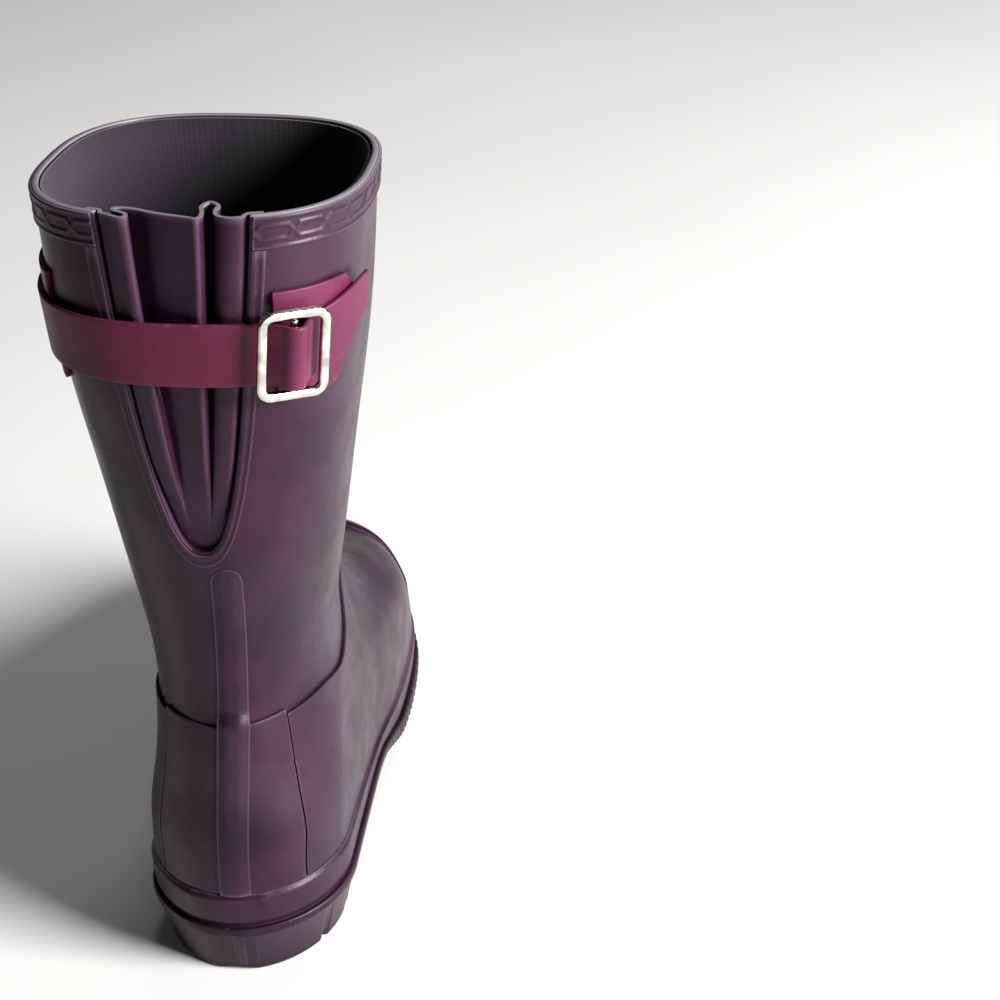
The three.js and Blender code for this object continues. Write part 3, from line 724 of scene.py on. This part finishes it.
def foxing_place(u, v):
    theta = 2 * math.pi * u
    return theta, mix(seat(theta) + 0.1, foxing_top(theta), v)


def foxing_face(u, v):
    theta, z = foxing_place(u, v)
    edge = 1 - 0.5 * smooth(0.86, 1, v)
    low = 1 - 0.25 * smooth(0.25, 0.0, v)
    stay_arc = (u * 2 * math.pi + math.pi) % (2 * math.pi) - math.pi
    mark = np.exp(-((np.abs(stay_arc) * 33 - 6.5) / 0.9) ** 2) * smooth(0.35, 0.75, v)
    return skin(theta, z, LAID + FOXING_OUT * edge * low + 0.5 * mark)


foxing = walled("foxing_band", 300, 22, foxing_face, at_depth(foxing_place, 0.1))
smoothed(foxing, 60)

# %% [markdown]
# ## The sole
# The outsole is a plate that follows the boot's outline in plan, thicker under the toes,
# with a slight ledge outside the foxing. Its edge is ribbed round the forefoot. A slab
# is a sheet between the two sides of the outline, with its lower face set by height.

# %% Slabs in plan


def theta_at(y):
    front, back = float(front_line(PLAN)), float(back_line(PLAN))
    return math.acos(np.clip(1 - 2 * (back - y) / (back - front), -1, 1))


def slab(name, start, end, columns, rows, out, top, bottom, soft=(0.0, 0.0), draft=0.0):
    """Rows crowd at the outline; soft holds the radius of the upper and the lower edge."""
    def face(extra, height, radius, sign):
        def points(u, v):
            theta = mix(start, end, u)
            depth = (out(theta) if callable(out) else np.full(theta.shape, out)) - extra
            a, b = skin(theta, PLAN, depth), skin(-theta, PLAN, depth)
            share = 0.5 - 0.5 * np.cos(np.pi * v)
            place = a + (b - a) * share[:, None]
            ends = place[:, 1]
            inside = np.minimum(np.minimum(share, 1 - share) * np.linalg.norm(b - a, axis=1),
                                np.minimum(ends.max() - ends, ends - ends.min()))
            lost = radius - np.sqrt(radius ** 2 - np.maximum(radius - inside, 0) ** 2)
            place[:, 2] = height(place[:, 0], place[:, 1]) - sign * lost
            return place
        return points
    return walled(name, columns, rows, face(0.0, top, soft[0], 1), face(draft, bottom, soft[1], -1))


PLATE = 4
TREAD = 7


def tread_share(y):
    return 1 - smooth(-85, -50, y)


def plate_bottom(y):
    return sole_top(y) - mix(PLATE, TREAD, tread_share(y))


side_line = last(TURNS, PLAN)
side_length = np.concatenate([[0], np.cumsum(np.linalg.norm(np.diff(side_line, axis=0), axis=1))])


RIB_PITCH = 5.2
RIB_DEPTH = 0.75


def ribbed_edge(theta):
    """The edge of the outsole, with upright ribs round the forefoot."""
    run = np.interp(np.abs(theta), TURNS, side_length)
    rib = 0.5 - 0.5 * np.cos(2 * np.pi * run / RIB_PITCH)
    return EDGE_OUT - RIB_DEPTH * rib ** 3 * smooth(-40, -80, last(theta, PLAN)[..., 1])


outsole = slab("ribbed_outsole", 0, math.pi, 330, 44, ribbed_edge,
               lambda x, y: sole_top(y), lambda x, y: plate_bottom(y), (1.0, 1.2))

# %% [markdown]
# The tread is rows of turned lugs. One lug is a bevelled cube; each copy is set between
# the plate and the floor, and shortened where the outline is near.

# %% Lugs of the tread
LUG = (15.0, 8.0)
LUG_HEIGHT = 5.5
LUG_TURN = 0.35
LUG_SPACING = 4
LUG_PITCH = 13
LUG_MARGIN = 3
TREAD_BACK = -82


def outline_at(y, out):
    theta = theta_at(y)
    return skin(theta, PLAN, out)[0], skin(-theta, PLAN, out)[0]


def lug(x, y, turn):
    corners = [(x + sx * LUG[0] / 2 * math.cos(turn) - sy * LUG[1] / 2 * math.sin(turn),
                y + sx * LUG[0] / 2 * math.sin(turn) + sy * LUG[1] / 2 * math.cos(turn))
               for sx in (-1, 1) for sy in (-1, 1)]
    low = max(outline_at(cy, EDGE_OUT - LUG_MARGIN)[0] for _, cy in corners)
    high = min(outline_at(cy, EDGE_OUT - LUG_MARGIN)[1] for _, cy in corners)
    left, right = max(x - LUG[0] / 2, low), min(x + LUG[0] / 2, high)
    if right - left < 5:
        return None
    bpy.ops.object.select_all(action="DESELECT")
    bpy.ops.mesh.primitive_cube_add(size=1)
    piece = bpy.context.object
    finish_with(piece, "BEVEL", width=0.09, segments=2)
    p = points_of(piece)
    wide, deep = p[:, 0] * (right - left), p[:, 1] * LUG[1]
    px = (left + right) / 2 + wide * math.cos(turn) - deep * math.sin(turn)
    py = y + wide * math.sin(turn) + deep * math.cos(turn)
    top = plate_bottom(py) + 0.8
    floor = np.maximum(plate_bottom(py) - LUG_HEIGHT, 0)
    put_points(piece, to_frame(np.stack([px, py, mix(floor, top, p[:, 2] + 0.5)], -1)))
    return piece


lugs = []
for row in range(9):
    for column in (-2, -1, 0, 1, 2):
        made = lug(column * (LUG[0] + LUG_SPACING) + 1,
                   TREAD_BACK - LUG_PITCH * (row + 0.2) - abs(column) * 3,
                   np.sign(column) * LUG_TURN)
        if made:
            lugs.append(made)
only(outsole)
for made in lugs:
    made.select_set(True)
bpy.ops.object.join()
outsole.name = "ribbed_outsole"
smoothed(outsole, 50)
print(len(lugs), "lugs")

# %% [markdown]
# The heel block is moulded rubber that narrows to the floor, with a rounded lower edge.
# Grooves cross its underside from each side. They are given in the height of the lower
# face; cutting them with a Boolean would do too, but leaves long thin faces.

# %% Heel block
HEEL_HEIGHT = 21.5
HEEL_BREAST = -12
HEEL_INSET = 1.4
HEEL_DRAFT = 4.0
HEEL_SOFT = 3.0
GROOVE_TURN = 0.2
GROOVE_DEPTH = 3
GROOVE_SIDE = 23


def heel_floor(x, y):
    lift = np.zeros(x.shape)
    for share in (0.12, 0.38, 0.64):
        middle_y = mix(HEEL_BREAST, float(back_line(PLAN)), share) + 6
        for side in (-1, 1):
            dx, dy = x - side * GROOVE_SIDE + 3, y - middle_y
            run = dx * math.cos(GROOVE_TURN) + side * dy * math.sin(GROOVE_TURN)
            off = dy * math.cos(GROOVE_TURN) - side * dx * math.sin(GROOVE_TURN)
            lift = np.maximum(lift, GROOVE_DEPTH * (1 - smooth(1.5, 2.4, np.abs(off)))
                              * (1 - smooth(16, 17.5, np.abs(run))))
    return lift


heel = slab("heel_block_fine", 0, theta_at(HEEL_BREAST), 150, 110, EDGE_OUT - HEEL_INSET,
            lambda x, y: HEEL_HEIGHT - GAP + 0 * y, heel_floor, (0.0, HEEL_SOFT), HEEL_DRAFT)
smoothed(heel, 75)
finish_with(heel, "WEIGHTED_NORMAL", keep_sharp=True)

# %% [markdown]
# ## The footbed
# A foam insole lies on the insole board. It is a padded piece: thin, crowned a little,
# with soft edges. A cloth simulation would barely move foam this thin, so its crown is
# given in the sheet.

# %% Foam footbed
INSIDE = 6.5
BED_LIFT = 4.9
BED = 5.0


def bed_top(x, y):
    return sole_top(y) + BED_LIFT + BED - 0.9 * (np.abs(x) / 38) ** 2


footbed = slab("foam_footbed", theta_at(58), theta_at(-188), 130, 40, -INSIDE, bed_top,
               lambda x, y: sole_top(y) + BED_LIFT, (1.6, 1.2))
smoothed(footbed, 60)

# %% [markdown]
# ## Strap, patches and loop
# The strap is glued to a patch on the inner side, crosses the gusset, dives under the
# buckle's side bar, rises over the middle bar and ends in a tapered tail. A ribbon along
# a smoothed line gives all of that; a curve with a bevel would give no tapered end.

# %% Ribbons
STRAP_HALF = 11.0
STRAP_WALL = 1.6
BAR_RADIUS = 1.2
LOOP_WALL = 1.2
BUCKLE_LENGTH = 25
BUCKLE_BAR = 3.2


def cut_corners(line, times=2):
    """Round a polyline by cutting its corners; the ends stay."""
    for _ in range(times):
        a, b = line[:-1], line[1:]
        middle = np.stack([0.75 * a + 0.25 * b, 0.25 * a + 0.75 * b], 1).reshape(-1, line.shape[1])
        line = np.concatenate([line[:1], middle, line[-1:]])
    return line


def ribbon(name, stations, wall, rows):
    """Stations hold a point, the upward direction and the reach below and above."""
    line = cut_corners(np.array([np.concatenate(s) for s in stations]))
    at, up = line[:, :3], unit(line[:, 3:6])
    normal = unit(np.cross(np.gradient(at, axis=0), up))
    count = len(line) - 1

    def face(side):
        def points(u, v):
            i = np.round(u * count).astype(int)
            reach = mix(-line[i, 6], line[i, 7], v)
            return at[i] + up[i] * reach[:, None] + normal[i] * side * wall / 2
        return points
    piece = walled(name, count, rows, face(1), face(-1))
    rounded(piece, wall * 0.28, 3)
    smoothed(piece, 60)
    return piece


def on_leg(distance, depth, rise=0.0):
    foot, normal, up, _ = leg_frame(distance)
    return foot + normal * depth + up * rise, up


# %% Strap and loop
STRAP_DEPTH = 3.0
STRAP_START = -74.5
LOOP_HALF = 6.0
window = BUCKLE_LENGTH / 2 - BUCKLE_BAR - 1.5
TAIL = 36
strap_line = [(*on_leg(d, STRAP_DEPTH), [STRAP_HALF, STRAP_HALF])
              for d in np.linspace(STRAP_START, BUCKLE_AT - window, 34)]
over_bar = BAR_RADIUS + GAP + LOOP_WALL + GAP + STRAP_WALL / 2
for degrees in (-75, -50, -25, 0, 25, 50, 75):
    a = math.radians(degrees)
    strap_line.append((buckle_spot(over_bar * math.sin(a), BUCKLE_LIFT + over_bar * math.cos(a)),
                       buckle_up, [STRAP_HALF, STRAP_HALF]))
for share in np.linspace(0, 1, 14):
    lower = STRAP_HALF - 10 * smooth(0.3, 1.05, share)
    upper = STRAP_HALF - 1.0 * smooth(0.85, 1, share) + 2.0 * share
    strap_line.append((*on_leg(BUCKLE_AT + mix(window, TAIL, share), STRAP_DEPTH + 0.4 * share,
                               5.0 * share), [lower, upper]))
strap = ribbon("plum_strap", strap_line, STRAP_WALL, 14)

middle = BAR_RADIUS + GAP + LOOP_WALL / 2
loop_foot = LAID + 1.5 + GAP + LOOP_WALL / 2
loop_line = [(buckle_spot(-middle, loop_foot), buckle_up, [LOOP_HALF, LOOP_HALF])]
for degrees in (-90, -60, -30, 0, 30, 60, 90):
    a = math.radians(degrees)
    loop_line.append((buckle_spot(middle * math.sin(a), BUCKLE_LIFT + middle * math.cos(a)),
                      buckle_up, [LOOP_HALF, LOOP_HALF]))
loop_line.append((buckle_spot(middle, loop_foot), buckle_up, [LOOP_HALF, LOOP_HALF]))
loop = ribbon("bar_loop", loop_line, LOOP_WALL, 8)

# %% Patches under the strap
PATCH_WALL = 1.5
PATCH_START = BUCKLE_AT - 4


def patch(name, side, outline):
    z, near, far = np.array(outline, float).T
    edges = (near, far) if side > 0 else (far, near)

    def place(u, v):
        height = np.round(mix(z[0], z[-1], v), 3)
        a, b = (np.interp(height, z, e) for e in edges)
        return along(side * mix(a, b, u), STRAP_Z + height), STRAP_Z + height
    piece = walled(name, 44, 42, at_depth(place, LAID + PATCH_WALL), at_depth(place, 0.1))
    rounded(piece, 0.4, 3)
    smoothed(piece, 60)
    return piece


buckle_patch = patch("outer_patch", 1, [
    [-18.5, PATCH_START, 52], [-8, PATCH_START, 64], [5, PATCH_START, 74],
    [12, PATCH_START, 67], [19.5, PATCH_START, 59]])
anchor_patch = patch("inner_patch", -1, [[-19.5, 52, 76], [-8, 52, 86], [4, 52, 94],
                                         [19.5, 52, 80]])

# %% [markdown]
# ## The buckle
# The buckle is a cast and plated frame that turns a little on a bar. Its outline is a
# plane with rounded corners, inset and opened, then thickened and rounded on all edges.

# %% Buckle frame and bar
BUCKLE_HEIGHT = 31.6
BUCKLE_CORNER = 5
BUCKLE_THICKNESS = 2.6


def into_buckle(piece):
    p = points_of(piece) / MM
    centre = buckle_spot(0, BUCKLE_LIFT)
    axes = np.stack([buckle_forward, buckle_up, np.cross(buckle_forward, buckle_up)])
    put_points(piece, to_frame(p @ axes + centre))


bpy.ops.object.select_all(action="DESELECT")
bpy.ops.mesh.primitive_plane_add(size=1)
buckle = bpy.context.object
buckle.name = "buckle_frame_fine"
put_points(buckle, points_of(buckle) * [BUCKLE_LENGTH * MM, BUCKLE_HEIGHT * MM, 0])
in_edit_mode(buckle, (bpy.ops.mesh.bevel, {"offset": BUCKLE_CORNER * MM, "segments": 10,
                                             "affect": "VERTICES"}),
             (bpy.ops.mesh.inset, {"thickness": BUCKLE_BAR * MM}),
             (bpy.ops.mesh.delete, {"type": "FACE"}))
finish_with(buckle, "SOLIDIFY", thickness=BUCKLE_THICKNESS * MM, offset=0)
rounded(buckle, 0.8, 4)
into_buckle(buckle)
smoothed(buckle, 40)

bpy.ops.object.select_all(action="DESELECT")
bpy.ops.mesh.primitive_cylinder_add(vertices=40, radius=BAR_RADIUS * MM,
                                    depth=(BUCKLE_HEIGHT - 2 * BUCKLE_BAR - 2 * GAP) * MM)
bar = bpy.context.object
bar.name = "buckle_bar_fine"
put_points(bar, points_of(bar)[:, [0, 2, 1]] * [1, 1, -1])
rounded(bar, 0.3, 3)
into_buckle(bar)
smoothed(bar, 40)

# %% [markdown]
# ## Labels
# The label on the shin is a red rubber tile with a raised border round a white plate; it
# is left blank. A grey size transfer, blank too, sits inside the leg on the lining.

# %% Shin label and size transfer
LABEL = (45, 23)
LABEL_ASIDE = 10
LABEL_BELOW_RIM = 29
BORDER = 2.4
TRANSFER = (24, 18)
TRANSFER_AT = 118
TRANSFER_BELOW_RIM = 34
label_z = LEG_HEIGHT - LABEL_BELOW_RIM


def front_place(width, height, corner):
    def place(u, v):
        x, y = (u - 0.5) * width, (v - 0.5) * height
        z = np.round(label_z + y, 3)
        inside = np.clip(corner - (height / 2 - np.abs(y)), 0, corner)
        x = x * (1 - (corner - np.sqrt(corner ** 2 - inside ** 2)) / (width / 2))
        return across_front(LABEL_ASIDE + x, z), z
    return place


def label_face(u, v):
    theta, z = front_place(*LABEL, 1.4)(u, v)
    rim = np.minimum((0.5 - np.abs(u - 0.5)) * LABEL[0], (0.5 - np.abs(v - 0.5)) * LABEL[1])
    return skin(theta, z, 1.5 + 0.9 * (1 - smooth(BORDER - 0.5, BORDER, rim)))


label = walled("label_tile", 90, 46, label_face, at_depth(front_place(*LABEL, 1.4), 0.1))
rounded(label, 0.35, 3)
smoothed(label, 50)
plate_place = front_place(LABEL[0] - 2 * BORDER, LABEL[1] - 2 * BORDER, 0.6)
plate = walled("label_blank_plate", 60, 30, at_depth(plate_place, 2.3), at_depth(plate_place, 1.4))
rounded(plate, 0.25, 3)
smoothed(plate, 50)


def transfer_place(u, v):
    z = np.round(LEG_HEIGHT - TRANSFER_BELOW_RIM + TRANSFER[1] * (v - 0.5), 3)
    return along(TRANSFER_AT + TRANSFER[0] * (u - 0.5), z), z


transfer = walled("size_transfer", 20, 14,
                  at_depth(transfer_place, -3.55), at_depth(transfer_place, -3.8))
smoothed(transfer)

# %% [markdown]
# ## Finishes
# One small function adds a shader node with its settings and links. Colours are sRGB
# hex values, turned to linear by one function.

# %% Node helper and colours


def linear(code, alpha=1.0):
    parts = [int(code[k:k + 2], 16) / 255 for k in (1, 3, 5)]
    return [c / 12.92 if c <= 0.04045 else ((c + 0.055) / 1.055) ** 2.4 for c in parts] + [alpha]


def add(tree, kind, inputs=None, **settings):
    node = tree.nodes.new("ShaderNode" + kind)
    for key, value in settings.items():
        setattr(node, key, value)
    for key, value in (inputs or {}).items():
        if isinstance(value, bpy.types.NodeSocket):
            tree.links.new(value, node.inputs[key])
        else:
            node.inputs[key].default_value = value
    return node


def new_finish(name, **constants):
    material = bpy.data.materials.new(name)
    material.use_nodes = True
    tree = material.node_tree
    shader = tree.nodes["Principled BSDF"]
    for key, value in constants.items():
        shader.inputs[key.replace("_", " ")].default_value = value
    place = add(tree, "TexCoord").outputs["Object"]
    return material, tree, shader, place


def clouds(tree, place, size_mm, detail=3.0, low=0.35, high=0.65, to_min=0.0, to_max=1.0):
    """Soft noise whose patches are about size_mm across, spread over a range."""
    noise = add(tree, "TexNoise", {"Vector": place, "Scale": 1000 / size_mm / 1.6,
                                   "Detail": detail})
    return add(tree, "MapRange", {"Value": noise.outputs["Fac"], "From Min": low, "From Max": high,
                                  "To Min": to_min, "To Max": to_max}).outputs["Result"]


def blend(tree, share, a, b):
    return add(tree, "Mix", {0: share, 6: a, 7: b}, data_type="RGBA").outputs[2]

# %% [markdown]
# Hand-laid natural rubber: a matte lacquer over a dark, warm aubergine compound. The eye
# sees broad soft highlights, a faint pale bloom in patches, a fine pebbled grain from
# the cloth-faced moulds, and slightly paler edges where the lacquer is thin. The lacquer
# reflects little, so its specular level is low. Along the leg's rim the colour carries a
# painted highlight: a thin lighter line on the top edge, where the light catches it.

# %% Moulded rubber


def moulded_rubber(name, deep, body, worn, roughness, rim_highlight=None):
    material, tree, shader, place = new_finish(name, IOR=1.52, Specular_IOR_Level=0.2)
    colour = blend(tree, clouds(tree, place, 22), linear(deep), linear(body))
    colour = blend(tree, clouds(tree, place, 38, 6.0, 0.5, 0.72, 0, 0.1), colour, linear(worn))
    edges = add(tree, "MapRange", {"Value": add(tree, "NewGeometry").outputs["Pointiness"],
                                   "From Min": 0.515, "From Max": 0.58, "To Max": 0.35})
    colour = blend(tree, edges.outputs["Result"], colour, linear(worn))
    # Painted highlight: a thin lighter line along the top edge of the rim, where light catches it.
    if rim_highlight:
        axes = add(tree, "SeparateXYZ", {"Vector": place})
        lean = add(tree, "Math", {0: axes.outputs["Y"], 1: -RIM_RISE, 2: axes.outputs["Z"]},
                   operation="MULTIPLY_ADD")
        rim = (LEG_HEIGHT - RIM_RISE * SHIFT[1]) * MM
        near = add(tree, "MapRange", {"Value": lean.outputs[0], "From Min": rim - 0.6 * MM,
                                      "From Max": rim - 0.2 * MM, "To Max": 0.7})
        colour = blend(tree, near.outputs["Result"], colour, linear(rim_highlight))
    tree.links.new(colour, shader.inputs["Base Color"])
    tree.links.new(clouds(tree, place, 9, 4.0, 0.3, 0.7, roughness - 0.05, roughness + 0.07),
                   shader.inputs["Roughness"])
    grain = add(tree, "TexNoise", {"Vector": place, "Scale": 1100.0, "Detail": 2.0})
    slow = add(tree, "TexNoise", {"Vector": place, "Scale": 60.0, "Detail": 2.0})
    fine = add(tree, "Bump", {"Height": grain.outputs["Fac"], "Strength": 0.35, "Distance": 0.0002})
    waves = add(tree, "Bump", {"Height": slow.outputs["Fac"], "Strength": 0.12, "Distance": 0.001,
                               "Normal": fine.outputs["Normal"]})
    tree.links.new(waves.outputs["Normal"], shader.inputs["Normal"])
    return material


leg_rubber = moulded_rubber("lacquered_aubergine_rubber", "#1c0b17", "#2d1326", "#66536a", 0.36,
                            rim_highlight="#8f8890")
sole_rubber = moulded_rubber("unlacquered_sole_rubber", "#190b15", "#261020", "#544656", 0.4)
strap_rubber = moulded_rubber("plum_strap_rubber", "#471028", "#571a35", "#82456a", 0.42)
tile_rubber = moulded_rubber("coral_label_rubber", "#cf4338", "#dc5044", "#e98a7d", 0.45)
plate_rubber = moulded_rubber("white_label_rubber", "#e9e6dd", "#f3f1ea", "#ffffff", 0.42)
stiff_rubber = moulded_rubber("stiffener_rubber", "#1f161d", "#2a1f28", "#5b5260", 0.75)

# %% [markdown]
# The lining is a weft-knit cotton and nylon sleeve, nearly black. Its wales are about
# 1 mm apart, as on a real fine knit. Its colour follows the knit's height: painted shade
# in the hollows between loops and painted light on the loop tops.

# %% Knit


def knit_cloth(name, shade, light):
    material, tree, shader, _ = new_finish(name, IOR=1.5, Roughness=0.95, Sheen_Weight=0.15,
                                           Sheen_Roughness=0.5)
    axes = add(tree, "SeparateXYZ", {"Vector": add(tree, "TexCoord").outputs["UV"]})
    wale = add(tree, "Math", {0: axes.outputs["X"], 1: 1 / (1.0 * MM)}, operation="MULTIPLY")
    across = add(tree, "Math", {0: wale.outputs[0], 1: 1.0}, operation="PINGPONG")
    course = add(tree, "Math", {0: axes.outputs["Y"], 1: 1 / (0.8 * MM), 2: across.outputs[0]},
                 operation="MULTIPLY_ADD")
    loop_wave = add(tree, "Math", {0: course.outputs[0], 1: 1.0}, operation="PINGPONG")
    height = add(tree, "Math", {0: loop_wave.outputs[0], 1: across.outputs[0]},
                 operation="MULTIPLY")
    # Painted shade and light: the colour is darker in the hollows between loops and lighter on the
    # loop tops.
    tree.links.new(blend(tree, height.outputs[0], linear(shade), linear(light)),
                   shader.inputs["Base Color"])
    bump = add(tree, "Bump", {"Height": height.outputs[0], "Strength": 0.5, "Distance": 0.0002})
    tree.links.new(bump.outputs["Normal"], shader.inputs["Normal"])
    return material


lining_knit = knit_cloth("weft_knit_lining", "#130c15", "#211624")

# %% [markdown]
# The buckle is zinc alloy with bright nickel plate: a warm white mirror with faint
# polishing marks. Spring steel in the shank is duller and brushed along its length.

# %% Metals


def plated_metal(name, colour, roughness, spread):
    material, tree, shader, place = new_finish(name, Metallic=1.0)
    tint = blend(tree, clouds(tree, place, 4, 4.0), linear(colour), linear("#e2dfd9"))
    tree.links.new(tint, shader.inputs["Base Color"])
    tree.links.new(clouds(tree, place, 1.5, 5.0, 0.3, 0.7, roughness, roughness + spread),
                   shader.inputs["Roughness"])
    scratch = add(tree, "Mapping", {"Vector": place, "Scale": (3000.0, 3000.0, 60.0)})
    lines = add(tree, "TexNoise", {"Vector": scratch.outputs["Vector"], "Scale": 1.0})
    bump = add(tree, "Bump", {"Height": lines.outputs["Fac"], "Strength": 0.08, "Distance": 0.0001})
    tree.links.new(bump.outputs["Normal"], shader.inputs["Normal"])
    return material


nickel_plate = plated_metal("bright_nickel_plate", "#a9a6a1", 0.1, 0.12)
spring_steel = plated_metal("rolled_spring_steel", "#8d9093", 0.35, 0.2)

# %% [markdown]
# Foam, fibreboard and the printed transfer are dull: open cells for foam, pressed
# fibres for board, and a thin even ink for the transfer.

# %% Foam, board and ink


def dull_solid(name, dark, light, cell_mm, depth, roughness):
    material, tree, shader, place = new_finish(name, Roughness=roughness, IOR=1.45)
    cells = add(tree, "TexVoronoi", {"Vector": place, "Scale": 1000 / cell_mm})
    tone = blend(tree, clouds(tree, place, cell_mm * 6, 5.0), linear(dark), linear(light))
    tree.links.new(tone, shader.inputs["Base Color"])
    bump = add(tree, "Bump", {"Height": cells.outputs["Distance"], "Strength": 0.5,
                              "Distance": depth})
    tree.links.new(bump.outputs["Normal"], shader.inputs["Normal"])
    return material


foam = dull_solid("open_cell_foam", "#2f2733", "#453a4a", 1.2, 0.0004, 0.95)
board = dull_solid("pressed_fibreboard", "#7d684b", "#97805f", 0.8, 0.0002, 0.9)
grey_ink = dull_solid("grey_transfer_ink", "#a19fa3", "#b4b2b6", 0.6, 0.00005, 0.6)

# %% [markdown]
# ## Put the pieces on the frame
# Each row holds a body, a material slot, a finish, and the pieces with the CAD nodes they
# stand for. Pieces sealed inside the boot keep their CAD shape.

# %% Ride, replace, slot and paint
fitted = [
    ("boot", "aubergine_rubber", leg_rubber,
     [(leg, "leg_shell"), (gusset, "gusset"), (tape, "gusset_seam_tape"), (band, "top_band"),
      (vamp, "vamp_overlay"), (counter, "heel_counter"), (stay, "back_stay"), (cap, "toe_cap"),
      (foxing, "foxing_strip")]),
    ("boot", "lining_knit", lining_knit, [(lining, "lining")]),
    ("boot", "sole_rubber", sole_rubber, [(outsole, "outsole"), (heel, "heel_block")]),
    ("boot", "sponge", foam, [(footbed, "footbed")]),
    ("boot", "strap_rubber", strap_rubber,
     [(strap, "strap"), (loop, "buckle_loop"), (buckle_patch, "buckle_patch"),
      (anchor_patch, "strap_anchor_patch")]),
    ("buckle", "nickel_plate", nickel_plate, [(buckle, "buckle_frame"), (bar, "buckle_bar")]),
    ("boot", "red_rubber", tile_rubber, [(label, "label_frame")]),
    ("boot", "white_rubber", plate_rubber, [(plate, "label_plate")]),
    ("boot", "grey_transfer", grey_ink, [(transfer, "size_label")]),
]
for body, slot_name, finish, pieces in fitted:
    for piece, node in pieces:
        piece.data.materials.clear()
        piece.data.materials.append(finish)
        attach(piece, body)
        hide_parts(node)
kept = {"toe_puff": stiff_rubber, "heel_stiffener": stiff_rubber, "midsole_filler": foam,
        "heel_filler": foam, "shank": spring_steel, "insole_board": board}
for node, finish in kept.items():
    frame["nodes"][node].data.materials.clear()
    frame["nodes"][node].data.materials.append(finish)
print(sum(len(row[3]) for row in fitted), "pieces fitted,", len(kept), "kept")

# %% [markdown]
# ## Camera, light and floor
# The camera stands half a metre above the floor and looks down at the boot from behind.
# A large soft light stands low to the camera's right, so the boot's left side falls into
# shade. A weak light hangs high behind the boot, and a pale floor runs out of view.

# %% Camera
CAMERA_HEIGHT = 519.3
PITCH = math.radians(29.56)
BOOT_PLACE = np.array([-98.33, 608.08, 0])
BOOT_YAW = math.radians(176.09)
FOCAL = 1.8755
turn_back = np.array(Matrix.Rotation(-BOOT_YAW, 3, "Z"))


def from_room(vector):
    return turn_back @ np.array(vector, float)


camera_at = from_room(np.array([0, 0, CAMERA_HEIGHT]) - BOOT_PLACE) + SHIFT
right = from_room([1, 0, 0])
ahead = from_room([0, math.cos(PITCH), -math.sin(PITCH)])


def stand(thing, at, look):
    """Place a camera or a light at a point in millimetres, looking along a direction."""
    thing.rotation_mode = "QUATERNION"
    thing.location = np.array(at) * MM
    thing.rotation_quaternion = Vector(look).to_track_quat("-Z", "Y")


camera = bpy.data.objects.new("camera", bpy.data.cameras.new("camera"))
bpy.context.collection.objects.link(camera)
camera.data.sensor_width = 36
camera.data.lens = FOCAL * 36
stand(camera, camera_at, ahead)
bpy.context.scene.camera = camera
print("camera, mm:", camera_at.round(1))

# %% Lights, world and floor
middle_of_boot = np.array([0, 40, 150.0])


def soft_light(name, side, height, towards, size, power):
    light = bpy.data.objects.new(name, bpy.data.lights.new(name, "AREA"))
    bpy.context.collection.objects.link(light)
    light.data.size = size
    light.data.energy = power
    level = from_room([0, 1, 0])
    at = middle_of_boot + right * side - level * towards + np.array([0, 0, height])
    stand(light, at, middle_of_boot - at)
    return light


soft_light("key", 2250, 980, 950, 1.1, 225)
soft_light("top", 300, 2400, -1200, 1.2, 16)
world = bpy.data.worlds.new("studio")
bpy.context.scene.world = world
world.use_nodes = True
world.node_tree.nodes["Background"].inputs["Color"].default_value = linear("#ffffff")
world.node_tree.nodes["Background"].inputs["Strength"].default_value = 0.05

bpy.ops.object.select_all(action="DESELECT")
bpy.ops.mesh.primitive_plane_add(size=14)
floor = bpy.context.object
floor.name = "studio_floor"
finish, tree, shader, place = new_finish("pale_painted_floor", Roughness=0.9)
tree.links.new(blend(tree, clouds(tree, place, 400), linear("#dddcda"), linear("#e2e1df")),
               shader.inputs["Base Color"])
floor.data.materials.append(finish)
bpy.context.scene.view_settings.view_transform = "Standard"
